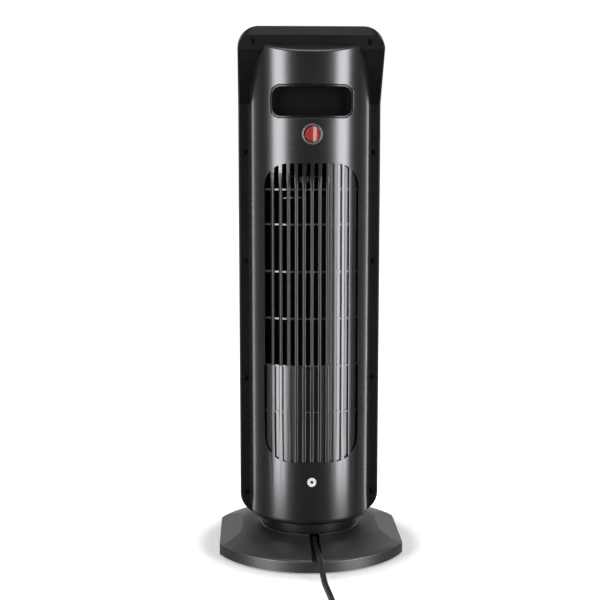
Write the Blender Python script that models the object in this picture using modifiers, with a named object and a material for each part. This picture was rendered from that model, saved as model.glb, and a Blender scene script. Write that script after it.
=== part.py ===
# Tower fan heater on a swivelling round base, with a ceramic heater and a cross-flow blower.
# Metres, +Z up. The origin is on the floor under the swivel axis, and warm air leaves towards -Y.
# The rear, towards +Y, has the inlet grille, the grip recess, the mains switch and the mains lead.
import math

import bmesh
import bpy
from mathutils import Matrix, Vector

# Driving dimensions of the whole heater
overall_height = 0.637
frame_half_width = 0.0867
frame_bottom = 0.0355
barrel_half_width = 0.0728
barrel_depth = 0.0650
base_radius = 0.124
base_flat_half = 0.112
front_face_y = -0.062

# Clearances and construction
gap = 0.0003
running_gap = 0.0004
overrun = 0.004
weld = 0.000005
round_steps = 24
small_steps = 8
screw_steps = 6
corner_steps = 4
base_steps = 36
hollow_steps = 24
fine_steps = 10

# Swept side outline of the front frame and panel
sweep_start_z = 0.470
sweep_end_z = 0.560
sweep_radius = 0.180
sweep_steps = 3
rear_step = 0.046
rear_bend_z = 0.548
rear_bend_high_z = 0.6093
top_chamfer_height = 0.011
top_chamfer_depth = 0.008
frame_wall = 0.003
frame_top_corner = 0.025
frame_bottom_corner = 0.028
frame_edge_round = 0.0022
frame_window_half = 0.0695
frame_window_low = 0.0425
frame_window_high = 0.6055
panel_depth = 0.018
panel_wall = 0.0026
panel_edge_round = 0.009

# Rear shell
shell_bottom = 0.0405
shell_wall = 0.0025
shell_bottom_round = 0.008
shell_top_front_z = 0.6148
shell_top_rear_z = 0.6066
shell_top_round = 0.0025
barrel_power = 2.3
flank_steps = 6
shell_round_steps = 3
flange_reach = 0.0022
flange_thickness = 0.0016
notch_radius = 0.0042

# Inlet grille in the rear shell
grille_half_width = 0.0558
grille_low = 0.119
grille_high = 0.477
grille_corner = 0.027
slot_count = 12
rib_width = 0.0042
rib_depth = 0.0065
bar_heights = (0.1800, 0.2363, 0.2933, 0.3494, 0.4054, 0.4465)
bar_height = 0.0020
bar_sink = 0.0011
blind_depth = 0.0040
open_slots = 8
open_from_bar = 1

# Grip recess
grip_half_width = 0.0487
grip_low = 0.530
grip_high = 0.568
grip_corner = 0.012
grip_depth = 0.026
grip_wall = 0.002
grip_step = 0.0035
grip_step_depth = 0.0035

# Mains switch
switch_z = 0.511
bezel_radius = 0.0122
bezel_proud = 0.0012
bezel_rim = 0.0011
bezel_collar_wall = 0.0014
rocker_radius = 0.0088
rocker_play = 0.0009
rocker_tilt = 16.0
rocker_pivot_depth = 0.0050
rocker_rise = 0.0014
rocker_back = 0.0026
rocker_pin_radius = 0.0010
rocker_pin_length = 0.0014
switch_depth = 0.021
switch_clip = 0.0014

# Pale spacer ring low on the back
spacer_z = 0.0945
spacer_radius = 0.00545
spacer_hole = 0.0026
spacer_proud = 0.0008
spacer_length = 0.0065

# Frame screws
side_screw_x = 0.0787
side_screw_heights = (0.065, 0.211, 0.357, 0.490)
top_screw_x = 0.0684
top_screw_z = 0.618
screw_head_radius = 0.0030
screw_head_height = 0.0016
screw_shank_radius = 0.0015
screw_length = 0.013
counterbore_radius = 0.0035
counterbore_depth = 0.0019
boss_radius = 0.0041

# Base
foot_height = 0.002
rim_top_z = 0.0160
crown_radius = 0.0865
crown_z = 0.0257
dish_radius = 0.067
dish_z = 0.0252
hub_radius = 0.0605
hub_z = 0.0275
base_wall = 0.003
rim_round = 0.0012
crown_bulge = 0.0010
facet_foot_z = 0.0152
facet_ridge_x = 0.0845
plate_thickness = 0.0025
plate_screw_radius = 0.100
plate_screw_count = 4
plate_screw_turn = 15.0
plate_screw_length = 0.0075
foot_radius = 0.0075
foot_circle = 0.106
foot_count = 4
neck_screw_circle = 0.0515
neck_screw_length = 0.0055
post_radius = 0.0042

# Cord channel in the base cover
channel_x = -0.0035
channel_half = 0.0060
channel_floor_z = 0.0157
channel_start_y = 0.036
channel_wall = 0.003
gland_hole_radius = 0.0046

# Swivel
glide_thickness = 0.0006
glide_inner = 0.0505
neck_radius = 0.058
neck_wall = 0.003
neck_top_z = 0.0400
neck_plate = 0.003
spigot_radius = 0.0105
spigot_bore = 0.0070
neck_boss_radius = 0.046
washer_radius = 0.0138
washer_thickness = 0.0012
clip_radius = 0.0132
clip_thickness = 0.0010
clip_groove_depth = 0.0012
spigot_tail = 0.0012
crank_offset = 0.030
crank_throw = 0.015
crank_disc_thickness = 0.003
crank_pin_radius = 0.0025
crank_shaft_radius = 0.0035
slot_play = 0.0011
swing_motor_radius = 0.0245
swing_motor_height = 0.0195

# Blower
wheel_x = 0.007
wheel_y = 0.027
wheel_radius = 0.027
wheel_low = 0.225
wheel_high = 0.433
blade_count = 18
blade_inner = 0.0205
blade_thickness = 0.0009
blade_lean = 14.0
blade_steps = 2
disc_thickness = 0.0016
disc_reach = 0.0006
wheel_hub_radius = 0.006
wheel_hub_length = 0.008
shaft_radius = 0.003
scroll_clearance = 0.0018
scroll_wall = 0.0015
scroll_start_angle = 80.0
scroll_end_angle = 213.0
scroll_end_reach = 0.057
scroll_steps = 14
halvings = 16
tongue_gap = 0.0026
duct_front_y = -0.004
duct_half = 0.041
casing_plate = 0.002
casing_end_gap = 0.0037
bearing_radius = 0.0065
bearing_height = 0.006
bridge_z = 0.462
bridge_half_length = 0.017
bridge_half_width = 0.009
bridge_metal = 0.0015
motor_radius = 0.023
motor_height = 0.040
bracket_half_length = 0.033
bracket_half_width = 0.017
bracket_metal = 0.002

# Ceramic heater behind the outlet
heater_depth = 0.014
heater_rear_gap = 0.0012
heater_half_width = 0.0435
heater_low = 0.222
heater_high = 0.440
heater_rim = 0.0055
fin_columns = 4
fin_folds = 11
fin_metal = 0.0009
fin_setback = 0.001
ceramic_width = 0.0024
cutout_radius = 0.0078
cutout_height = 0.006
heater_post_radius = 0.004

# Outlet grille, control panel and buttons
outlet_half_width = 0.0455
outlet_low = 0.206
outlet_high = 0.456
outlet_corner = 0.010
outlet_lip = 0.004
outlet_grille_depth = 0.006
slat_pitch = 0.0190
slat_height = 0.0030
slat_rib = 0.003
control_half_width = 0.058
control_half_height = 0.0285
control_centre_z = 0.5985
control_corner = 0.007
control_lip = 0.003
control_flange = 0.0015
display_half_width = 0.020
display_half_height = 0.0085
display_rise = 0.011
display_thickness = 0.0014
button_count = 4
button_spacing = 0.025
button_radius = 0.0052
button_drop = 0.012
button_proud = 0.0010
button_travel = 0.0012
button_collar = 0.0012
button_length = 0.0075
board_half_width = 0.052
board_half_height = 0.022
board_thickness = 0.0016
board_post_radius = 0.003
board_post_inset = 0.005
key_switch_half = 0.003
tilt_switch_half_width = 0.011
tilt_switch_half_depth = 0.0075
tilt_switch_height = 0.017
tilt_switch_x = -0.040
tilt_switch_y = 0.018

# Mains lead: diameter, route of the free stretch, coil and plug
cord_radius = 0.0035
cord_point_spacing = 0.0085
relief_length = 0.022
relief_start_radius = 0.0050
relief_end_radius = 0.0042
relief_flange_radius = 0.0057
relief_flange = 0.0015
coil_centre = (-0.0640, 0.3000)
coil_start_radius = 0.0475
coil_turns = 6.25
coil_pitch = 0.0077
coil_layer_rise = 0.0076
coil_floor_gap = 0.0003
loop_points = 24
cord_route = (
    (-0.0035, 0.0583, 0.0194),
    (-0.0037, 0.0700, 0.0194),
    (-0.0045, 0.0900, 0.0195),
    (-0.0055, 0.1080, 0.0197),
    (-0.0064, 0.1220, 0.0196),
    (-0.0076, 0.1370, 0.0156),
    (-0.0089, 0.1510, 0.0086),
    (-0.0102, 0.1650, 0.0045),
    (-0.0116, 0.1780, 0.0038),
    (-0.0136, 0.1980, 0.0038),
    (-0.0153, 0.2200, 0.0038),
    (-0.0163, 0.2400, 0.0038),
    (-0.0165, 0.2600, 0.0038),
    (-0.0165, 0.2780, 0.0038),
    (-0.0165, 0.2927, 0.0038),
)
plug_half_width = 0.0180
plug_half_height = 0.0112
plug_body_length = 0.030
plug_relief_length = 0.026
plug_relief_radius = 0.0048
plug_neck_half = 0.0085
plug_round = 0.003
pin_radius = 0.0024
pin_length = 0.019
pin_spacing = 0.019

# Derived places
rim_bottom_z = foot_height + gap
slot_pitch = 2 * grille_half_width / slot_count
neck_bottom_z = hub_z + gap + glide_thickness + gap
sweep_angle = math.asin((sweep_end_z - sweep_start_z) / sweep_radius)
wheel_centre = Vector((wheel_x, wheel_y, 0))


# Scene and helpers

def clear_scene():
    for item in list(bpy.data.objects):
        bpy.data.objects.remove(item, do_unlink=True)


def new_collection(name):
    collection = bpy.data.collections.new(name)
    bpy.context.scene.collection.children.link(collection)
    return collection


def make_material(name, colour, roughness, metallic):
    material = bpy.data.materials.new(name)
    material.use_nodes = True
    shader = material.node_tree.nodes["Principled BSDF"]
    shader.inputs["Base Color"].default_value = (*colour, 1)
    shader.inputs["Roughness"].default_value = roughness
    shader.inputs["Metallic"].default_value = metallic
    material.diffuse_color = (*colour, 1)
    return material


def as_part(item, material):
    """Give a finished object its material and put it among the heater's parts."""
    item.data.materials.clear()
    item.data.materials.append(material)
    for collection in list(item.users_collection):
        collection.objects.unlink(item)
    parts.objects.link(item)
    item.hide_render = False
    item.display_type = "TEXTURED"
    return item


def tool(name, mesh):
    """A working solid: it cuts or joins others, and isn't a part until as_part takes it."""
    item = bpy.data.objects.new(name, mesh)
    cutters.objects.link(item)
    item.hide_render = True
    item.display_type = "WIRE"
    return item


def mesh_from(name, bm):
    bmesh.ops.recalc_face_normals(bm, faces=bm.faces)
    if bm.calc_volume(signed=True) < 0:
        bmesh.ops.reverse_faces(bm, faces=bm.faces)
    mesh = bpy.data.meshes.new(name)
    bm.to_mesh(mesh)
    bm.free()
    return mesh


def shade_round(item):
    item.data.shade_smooth()
    item.data.set_sharp_from_angle(angle=math.radians(35))
    return item


def settle(item):
    """Keep an object's evaluated shape as its plain mesh."""
    graph = bpy.context.evaluated_depsgraph_get()
    mesh = bpy.data.meshes.new_from_object(item.evaluated_get(graph))
    item.modifiers.clear()
    item.data = mesh
    return item


def box(name, low, high):
    bm = bmesh.new()
    size = Vector(high) - Vector(low)
    centre = (Vector(high) + Vector(low)) / 2
    bmesh.ops.create_cube(bm, size=1, matrix=Matrix.Translation(centre) @ Matrix.Diagonal((*size, 1)))
    return tool(name, mesh_from(name, bm))


def cylinder(name, radius, start, end, steps=small_steps, end_radius=None):
    """A round bar or a cone between two points."""
    start = Vector(start)
    end = Vector(end)
    along = end - start
    turn = along.to_track_quat("Z", "Y").to_matrix().to_4x4()
    place = Matrix.Translation((start + end) / 2) @ turn
    top = radius if end_radius is None else end_radius
    bm = bmesh.new()
    bmesh.ops.create_cone(bm, cap_ends=True, segments=steps, radius1=radius, radius2=top,
                          depth=along.length, matrix=place)
    return shade_round(tool(name, mesh_from(name, bm)))


plane_turns = {
    "XY": Matrix.Identity(4),
    "XZ": Matrix(((1, 0, 0, 0), (0, 0, -1, 0), (0, 1, 0, 0), (0, 0, 0, 1))),
    "YZ": Matrix(((0, 0, 1, 0), (1, 0, 0, 0), (0, 1, 0, 0), (0, 0, 0, 1))),
}


def slab(name, outlines, low, high, plane="XY", place=None):
    """Extrude closed outlines, the inner ones as holes, between two levels of the third axis."""
    curve = bpy.data.curves.new(name, "CURVE")
    curve.dimensions = "2D"
    curve.fill_mode = "BOTH"
    curve.extrude = (high - low) / 2
    for outline in outlines:
        spline = curve.splines.new("POLY")
        spline.points.add(len(outline) - 1)
        for point, (across, up) in zip(spline.points, outline):
            point.co = (across, up, 0, 1)
        spline.use_cyclic_u = True
    item = tool(name, curve)
    graph = bpy.context.evaluated_depsgraph_get()
    mesh = bpy.data.meshes.new_from_object(item.evaluated_get(graph))
    bpy.data.objects.remove(item)
    bm = bmesh.new()
    bm.from_mesh(mesh)
    bmesh.ops.remove_doubles(bm, verts=bm.verts, dist=weld)
    bmesh.ops.dissolve_limit(bm, angle_limit=math.radians(0.2), verts=bm.verts, edges=bm.edges)
    middle = (high + low) / 2
    if plane == "XZ":
        middle = -middle
    turn = plane_turns[plane] @ Matrix.Translation((0, 0, middle))
    if place is not None:
        turn = place @ turn
    bmesh.ops.transform(bm, matrix=turn, verts=bm.verts)
    return tool(name, mesh_from(name, bm))


def turned(name, profile, steps=round_steps, closed=True):
    """Turn an outline of (radius, height) points about Z; the outer side runs from top to bottom."""
    bm = bmesh.new()
    points = [bm.verts.new((radius, 0, height)) for radius, height in profile]
    for first, second in zip(points, points[1:]):
        bm.edges.new((first, second))
    if closed:
        bm.edges.new((points[-1], points[0]))
    mesh = bpy.data.meshes.new(name)
    bm.to_mesh(mesh)
    bm.free()
    item = tool(name, mesh)
    screw = item.modifiers.new("Turn", "SCREW")
    screw.axis = "Z"
    screw.angle = math.tau
    screw.steps = steps
    screw.render_steps = steps
    screw.use_merge_vertices = True
    screw.merge_threshold = weld
    screw.use_normal_calculate = True
    settle(item)
    bm = bmesh.new()
    bm.from_mesh(item.data)
    bmesh.ops.recalc_face_normals(bm, faces=bm.faces)
    bm.to_mesh(item.data)
    bm.free()
    return shade_round(item)


def boolean(target, other, operation):
    modifier = target.modifiers.new(other.name, "BOOLEAN")
    modifier.operation = operation
    modifier.object = other
    modifier.solver = "EXACT"
    return target


def cut(target, *others):
    for other in others:
        boolean(target, other, "DIFFERENCE")
    return target


def join(target, *others):
    for other in others:
        boolean(target, other, "UNION")
    return target


def keep(target, *others):
    for other in others:
        boolean(target, other, "INTERSECT")
    return target


def cutter_set(name, items):
    """One cutter from several that don't touch each other."""
    bm = bmesh.new()
    for item in items:
        bm.from_mesh(item.data)
        bpy.data.objects.remove(item)
    mesh = bpy.data.meshes.new(name)
    bm.to_mesh(mesh)
    bm.free()
    return tool(name, mesh)


def copies(name, pattern, places, material):
    """A numbered part with the pattern's mesh at each place."""
    pattern.data.name = name
    for index, place in enumerate(places):
        item = tool("%s_%d" % (name, index + 1), pattern.data)
        item.location = place
        as_part(item, material)
    bpy.data.objects.remove(pattern)


def round_edges(item, width, angle=40, segments=1):
    bevel = item.modifiers.new("Rounded edges", "BEVEL")
    bevel.width = width
    bevel.segments = segments
    bevel.limit_method = "ANGLE"
    bevel.angle_limit = math.radians(angle)
    bevel.use_clamp_overlap = True
    return item


def bevel_where(item, test, width, segments):
    """Round only the edges whose two ends pass the test."""
    bm = bmesh.new()
    bm.from_mesh(item.data)
    edges = [edge for edge in bm.edges if test(edge.verts[0].co) and test(edge.verts[1].co)]
    bmesh.ops.bevel(bm, geom=edges, offset=width, segments=segments, affect="EDGES", profile=0.5)
    bm.to_mesh(item.data)
    bm.free()
    return item


def set_origin(item, point):
    """Move an object's origin to a point and leave its shape where it is."""
    item.data.transform(Matrix.Translation(-Vector(point)))
    item.location = Vector(point)
    return item


def rounded(left, right, low, high, low_radius, high_radius=None, steps=corner_steps):
    """Outline of a rectangle with round corners, anticlockwise."""
    if high_radius is None:
        high_radius = low_radius
    corners = (
        (right - low_radius, low + low_radius, low_radius, -90),
        (right - high_radius, high - high_radius, high_radius, 0),
        (left + high_radius, high - high_radius, high_radius, 90),
        (left + low_radius, low + low_radius, low_radius, 180),
    )
    points = []
    for across, up, radius, start in corners:
        for step in range(steps + 1):
            angle = math.radians(start + 90 * step / steps)
            points.append((across + radius * math.cos(angle), up + radius * math.sin(angle)))
    return points


def round_room(radius, steps):
    """Radius of a many-sided hole whose flats stay clear of a round piece."""
    return radius / math.cos(math.pi / steps)


def ring_points(centre, radius, steps=small_steps):
    return [(centre[0] + radius * math.cos(math.tau * step / steps),
             centre[1] + radius * math.sin(math.tau * step / steps)) for step in range(steps)]


# Outlines that several pieces share

def barrel_reach(inset, across):
    """How far back the barrel's surface, set in by an amount, lies at a place across it."""
    share = abs(across) / (barrel_half_width - inset)
    return (barrel_depth - inset) * (1 - share ** barrel_power) ** (1 / barrel_power)


def barrel_outline(inset, front_y):
    """Section of the barrel, half a superellipse, with a corner on each rib's middle line."""
    half = barrel_half_width - inset
    depth = barrel_depth - inset
    grille_angle = math.acos((grille_half_width / half) ** (barrel_power / 2))
    flank = []
    for step in range(flank_steps + 1):
        angle = grille_angle * step / flank_steps
        flank.append((half * math.cos(angle) ** (2 / barrel_power), depth * math.sin(angle) ** (2 / barrel_power)))
    points = list(flank)
    for index in range(1, slot_count):
        across = grille_half_width - slot_pitch * index
        points.append((across, barrel_reach(inset, across)))
    points += [(-across, back) for across, back in reversed(flank)]
    return points + [(-half, front_y), (half, front_y)]


def front_line(setback):
    """Side outline of the front, bottom to top: upright, an arc, then a straight slope."""
    y = front_face_y + setback
    points = [(y, frame_bottom - overrun)]
    for step in range(sweep_steps + 1):
        angle = sweep_angle * step / sweep_steps
        points.append((y + sweep_radius * (1 - math.cos(angle)), sweep_start_z + sweep_radius * math.sin(angle)))
    rise = overall_height + overrun - sweep_end_z
    last_y = points[-1][0]
    points.append((last_y + rise * math.tan(sweep_angle), sweep_end_z + rise))
    return points


def front_reach(setback, z):
    """Place of the front surface at a height on its straight slope."""
    start = front_face_y + setback + sweep_radius * (1 - math.cos(sweep_angle))
    return start + (z - sweep_end_z) * math.tan(sweep_angle)


def rear_line(setback):
    """Side outline of the frame's rear, top to bottom: chamfer, upright, slope, upright."""
    slope = top_chamfer_depth / top_chamfer_height
    return [
        (rear_step - setback - top_chamfer_depth - overrun * slope, overall_height + overrun),
        (rear_step - setback, overall_height - top_chamfer_height),
        (rear_step - setback, rear_bend_high_z),
        (-setback, rear_bend_z),
        (-setback, frame_bottom - overrun),
    ]


def panel_place(across, up, out):
    """A point on the sloped control panel: across it, up it and out of its face."""
    centre_y = front_reach(0, control_centre_z)
    up_way = Vector((0, math.sin(sweep_angle), math.cos(sweep_angle)))
    out_way = Vector((0, -math.cos(sweep_angle), math.sin(sweep_angle)))
    return Vector((across, centre_y, control_centre_z)) + up * up_way + out * out_way


def panel_matrix():
    """From the panel's own across, up and out to the heater's axes."""
    origin = panel_place(0, 0, 0)
    up_way = panel_place(0, 1, 0) - origin
    out_way = panel_place(0, 0, 1) - origin
    return Matrix((
        (1, up_way.x, out_way.x, origin.x),
        (0, up_way.y, out_way.y, origin.y),
        (0, up_way.z, out_way.z, origin.z),
        (0, 0, 0, 1),
    ))


def grille_outline(inset=0):
    return rounded(-grille_half_width + inset, grille_half_width - inset, grille_low + inset,
                   grille_high - inset, grille_corner - inset, steps=8)


def frame_screw_places():
    """Each frame screw's x, z and the y of the face that its head sits below."""
    places = []
    for side in (-1, 1):
        places += [(side * side_screw_x, z, -gap) for z in side_screw_heights]
        places.append((side * top_screw_x, top_screw_z, rear_step - gap))
    return places


# Base

def base_solid(name, inset, steps):
    """The base's outer form, or its hollow when it is set in by the wall."""
    top = hub_z - inset
    low_radius = base_radius - inset
    low_z = rim_top_z - inset
    bottom = rim_bottom_z - (overrun if inset else 0)
    profile = [
        (0, top),
        (hub_radius - inset, top),
        (dish_radius, dish_z - inset),
        (crown_radius - inset / 4, crown_z - inset),
    ]
    if not inset:
        middle = (crown_radius + low_radius) / 2
        profile += [
            (middle, (crown_z + rim_top_z) / 2 + crown_bulge),
            (low_radius - rim_round, low_z + rim_round * 0.6),
        ]
    profile += [
        (low_radius, low_z - rim_round),
        (low_radius, bottom),
        (0, bottom),
    ]
    solid = turned(name, profile, steps=steps, closed=False)
    reach = base_radius * 2
    for side in (-1, 1):
        flat = base_flat_half - inset
        cut(solid, box(name + "_flat", (min(side * flat, side * reach), -reach, -reach),
                       (max(side * flat, side * reach), reach, reach)))
        foot_z = facet_foot_z - inset
        ridge_z = crown_z - inset
        slope = math.atan2(ridge_z - foot_z, flat - facet_ridge_x)
        facet = box(name + "_facet", (-base_radius, -reach, 0), (base_radius, reach, overrun * 4))
        facet.data.transform(Matrix.Rotation(side * slope, 4, "Y"))
        facet.data.transform(Matrix.Translation((side * flat, 0, foot_z)))
        cut(solid, facet)
    return solid


def base_cover(material):
    cover = base_solid("base_cover", 0, base_steps)
    settle(cover)
    hollow = base_solid("base_hollow", base_wall, hollow_steps)
    settle(hollow)
    cut(cover, hollow)
    trough_low = channel_floor_z - channel_wall
    trough = box("channel_trough",
                 (channel_x - channel_half - channel_wall, channel_start_y - channel_wall, trough_low),
                 (channel_x + channel_half + channel_wall, base_radius - base_wall / 2, hub_z - base_wall / 2))
    body = base_solid("base_body", base_wall / 2, base_steps)
    settle(body)
    keep(trough, body)
    settle(trough)
    join(cover, trough)
    for x, y in plate_screw_places():
        post = cylinder("plate_post", post_radius, (x, y, rim_bottom_z + plate_thickness + gap),
                        (x, y, base_top_at(math.hypot(x, y)) - base_wall / 2), steps=screw_steps)
        join(cover, post)
    cut(cover, box("cord_channel", (channel_x - channel_half, channel_start_y, channel_floor_z),
                   (channel_x + channel_half, base_radius + overrun, hub_z + overrun)))
    cut(cover, cylinder("gland_hole", gland_hole_radius + gap,
                        (channel_x, channel_start_y - channel_wall - overrun, cord_route[0][2]),
                        (channel_x, channel_start_y + overrun, cord_route[0][2]), steps=small_steps))
    cut(cover, cylinder("spigot_bore", spigot_radius + running_gap, (0, 0, 0), (0, 0, hub_z + overrun),
                        steps=small_steps * 2))
    inner = crank_offset - crank_throw - crank_pin_radius - slot_play
    outer = crank_offset + crank_throw + crank_pin_radius + slot_play
    half = crank_pin_radius + slot_play
    cut(cover, slab("crank_slot", [rounded(inner, outer, -half, half, half * 0.99)],
                    hub_z - base_wall - overrun, hub_z + overrun))
    for x, y in plate_screw_places():
        cut(cover, cylinder("post_hole", screw_shank_radius + gap, (x, y, 0),
                            (x, y, rim_bottom_z + plate_screw_length + gap), steps=screw_steps))
    return as_part(shade_round(settle(cover)), material)


def base_top_at(radius):
    """Rough height of the base's crown at a radius, for posts that end inside its wall."""
    share = max(0, (radius - crown_radius) / (base_radius - crown_radius))
    return crown_z + (rim_top_z - crown_z) * share


def plate_screw_places():
    places = []
    for count in range(plate_screw_count):
        angle = math.radians(plate_screw_turn + 360 * count / plate_screw_count)
        places.append((plate_screw_radius * math.cos(angle), plate_screw_radius * math.sin(angle)))
    return places


def base_plate(material):
    outline = ring_points((0, 0), base_radius - base_wall - gap, hollow_steps)
    holes = [ring_points(place, screw_shank_radius + gap, screw_steps) for place in plate_screw_places()]
    plate = slab("base_plate", [outline] + holes, rim_bottom_z, rim_bottom_z + plate_thickness)
    flat = base_flat_half - base_wall - gap
    keep(plate, box("plate_sides", (-flat, -base_radius, 0), (flat, base_radius, hub_z)))
    return as_part(settle(plate), material)


def rubber_feet(material):
    foot = cylinder("foot", foot_radius, (0, 0, 0), (0, 0, foot_height))
    places = []
    for count in range(foot_count):
        angle = math.tau * (count + 0.5) / foot_count
        places.append((foot_circle * math.cos(angle), foot_circle * math.sin(angle), 0))
    copies("rubber_foot", foot, places, material)


def strain_relief(material):
    """Tapered sleeve round the lead, with a flange inside the wall of the channel's inner end."""
    z = cord_route[0][2]
    wall_y = channel_start_y - channel_wall
    end_y = cord_route[0][1] - gap
    flange = cylinder("relief_flange", relief_flange_radius, (channel_x, wall_y - gap - relief_flange, z),
                      (channel_x, wall_y - gap, z))
    neck = cylinder("relief_neck", gland_hole_radius, (channel_x, wall_y - gap - relief_flange / 2, z),
                    (channel_x, channel_start_y + overrun / 2, z))
    sleeve = cylinder("strain_relief", min(relief_start_radius, z - channel_floor_z),
                      (channel_x, channel_start_y + gap, z), (channel_x, end_y, z),
                      end_radius=relief_end_radius)
    join(sleeve, neck, flange)
    floor = box("relief_flat", (channel_x - overrun * 2, channel_start_y, 0),
                (channel_x + overrun * 2, end_y + overrun, channel_floor_z + gap))
    roof = box("relief_roof", (channel_x - overrun * 2, 0, hub_z - base_wall - gap),
               (channel_x + overrun * 2, end_y, hub_z + overrun))
    cut(sleeve, floor, roof)
    return as_part(shade_round(settle(sleeve)), material)


# Swivel

def glide_ring(material):
    low = hub_z + gap
    ring = turned("glide_ring", [(neck_radius, low + glide_thickness), (neck_radius, low),
                                 (glide_inner, low), (glide_inner, low + glide_thickness)])
    return as_part(ring, material)


def turntable(material):
    """The neck: a shallow cup under the tower, with the hollow spigot that turns in the hub."""
    top = neck_top_z - gap
    clip_top = hub_z - base_wall - gap - washer_thickness - gap
    clip_low = clip_top - clip_thickness - gap
    tail = clip_low - spigot_tail
    profile = [
        (neck_boss_radius, top + shell_wall),
        (neck_boss_radius, top),
        (neck_radius, top),
        (neck_radius, neck_bottom_z),
        (neck_radius - neck_wall, neck_bottom_z),
        (neck_radius - neck_wall, top - neck_plate),
        (spigot_radius, top - neck_plate),
        (spigot_radius, clip_top),
        (spigot_radius - clip_groove_depth, clip_top),
        (spigot_radius - clip_groove_depth, clip_low),
        (spigot_radius, clip_low),
        (spigot_radius, tail),
        (spigot_bore, tail),
        (spigot_bore, top + shell_wall),
    ]
    neck = turned("turntable", profile)
    neck.data.transform(Matrix.Rotation(math.tau / round_steps / 3, 4, "Z"))
    cut(neck, cylinder("crank_shaft_hole", crank_shaft_radius + running_gap, (crank_offset, 0, neck_bottom_z),
                       (crank_offset, 0, neck_top_z + overrun)))
    for x, y in neck_screw_places():
        cut(neck, cylinder("neck_screw_hole", screw_shank_radius + gap, (x, y, neck_bottom_z),
                           (x, y, neck_top_z + overrun), steps=screw_steps))
    return as_part(shade_round(settle(neck)), material)


def neck_screw_places():
    places = []
    for count in range(4):
        angle = math.radians(45 + 90 * count)
        places.append((neck_screw_circle * math.cos(angle), neck_screw_circle * math.sin(angle)))
    return places


def pivot_washer(material):
    top = hub_z - base_wall - gap
    inner = spigot_radius + running_gap
    washer = turned("pivot_washer", [(washer_radius, top), (washer_radius, top - washer_thickness),
                                     (inner, top - washer_thickness), (inner, top)], steps=small_steps * 2)
    return as_part(washer, material)


def pivot_clip(material):
    """Open retaining clip in the spigot's groove."""
    top = hub_z - base_wall - gap - washer_thickness - gap - gap / 2
    inner = spigot_radius - clip_groove_depth + gap
    ring = turned("pivot_clip", [(clip_radius, top), (clip_radius, top - clip_thickness),
                                 (inner, top - clip_thickness), (inner, top)], steps=small_steps * 2)
    cut(ring, box("clip_mouth", (-clip_radius - overrun, -spigot_radius * 0.45, 0),
                  (0, spigot_radius * 0.45, hub_z)))
    return as_part(shade_round(settle(ring)), material)


def crank(material):
    """Disc on the swing motor's shaft, with the pin that runs in the hub's slot."""
    top = neck_top_z - gap - neck_plate - gap
    low = top - crank_disc_thickness
    disc = cylinder("crank", crank_throw + crank_pin_radius + gap * 2, (crank_offset, 0, low),
                    (crank_offset, 0, top), steps=small_steps * 2)
    pin_x = crank_offset + crank_throw
    join(disc, cylinder("crank_pin", crank_pin_radius, (pin_x, 0, hub_z - base_wall + gap),
                        (pin_x, 0, low + gap)))
    join(disc, cylinder("crank_shaft", crank_shaft_radius, (crank_offset, 0, low + gap),
                        (crank_offset, 0, neck_top_z + shell_wall + overrun * 2)))
    settle(disc)
    return as_part(shade_round(set_origin(disc, (crank_offset, 0, 0))), material)


def swing_motor(material):
    low = shell_bottom + shell_wall + gap
    can = cylinder("swing_motor", swing_motor_radius, (crank_offset, 0, low),
                   (crank_offset, 0, low + swing_motor_height), steps=small_steps * 2)
    ear_half = swing_motor_radius * 0.28
    ears = box("motor_ears", (crank_offset - ear_half, -swing_motor_radius * 1.32, low),
               (crank_offset + ear_half, swing_motor_radius * 1.32, low + frame_wall / 2))
    join(can, ears)
    cut(can, cylinder("motor_bore", crank_shaft_radius + running_gap, (crank_offset, 0, low - overrun),
                      (crank_offset, 0, low + overrun * 2 + gap)))
    return as_part(shade_round(settle(can)), material)


# Tower housing

def shell_solid(name, inset):
    """The barrel under its sloped top, set in by an amount."""
    front = -barrel_depth / 2
    high = shell_top_front_z + overrun * 2
    body = slab(name, [barrel_outline(inset, front)], shell_bottom + inset, high)
    low_z = shell_bottom + inset
    radius = shell_bottom_round - inset

    def on_bottom_edge(point):
        return abs(point.z - low_z) < weld * 10 and point.y > front / 2

    bevel_where(body, on_bottom_edge, radius, 1 if inset else shell_round_steps)
    slope = math.atan2(shell_top_front_z - shell_top_rear_z, barrel_depth - rear_step)
    lid = box(name + "_lid", (-frame_half_width * 2, -barrel_depth * 2, 0),
              (frame_half_width * 2, barrel_depth * 2, barrel_depth))
    lid.data.transform(Matrix.Rotation(-slope, 4, "X"))
    lid.data.transform(Matrix.Translation((0, rear_step, shell_top_front_z - inset)))
    cut(body, lid)
    return settle(body)


def parting_tool(name, setback, front):
    """Everything in front of the parting line between the shell and the frame."""
    line = [(0, rear_bend_z), (0, shell_bottom - overrun * 4)]
    outline = [(front, shell_bottom - overrun * 4), (front, overall_height + overrun),
               (rear_step + setback, overall_height + overrun), (rear_step + setback, rear_bend_high_z)]
    outline += [(y + setback, z) for y, z in line]
    return slab(name, [outline], -frame_half_width * 2, frame_half_width * 2, "YZ")


def band(name, from_inset, to_inset):
    """A layer of the barrel's wall between two depths below its surface."""
    low = grille_low - grille_corner
    high = grille_high + grille_corner
    outer = slab(name, [barrel_outline(from_inset, 0)], low, high)
    inner = slab(name + "_inner", [barrel_outline(to_inset, -overrun)], low - overrun, high + overrun)
    cut(outer, inner)
    return settle(outer)


def slot_edges(index):
    """Left and right x of one inlet slot, counted from +X."""
    right = grille_half_width - index * slot_pitch
    left = right - slot_pitch
    right -= rib_width / 2 if index > 0 else 0
    left += rib_width / 2 if index < slot_count - 1 else 0
    return left, right


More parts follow.
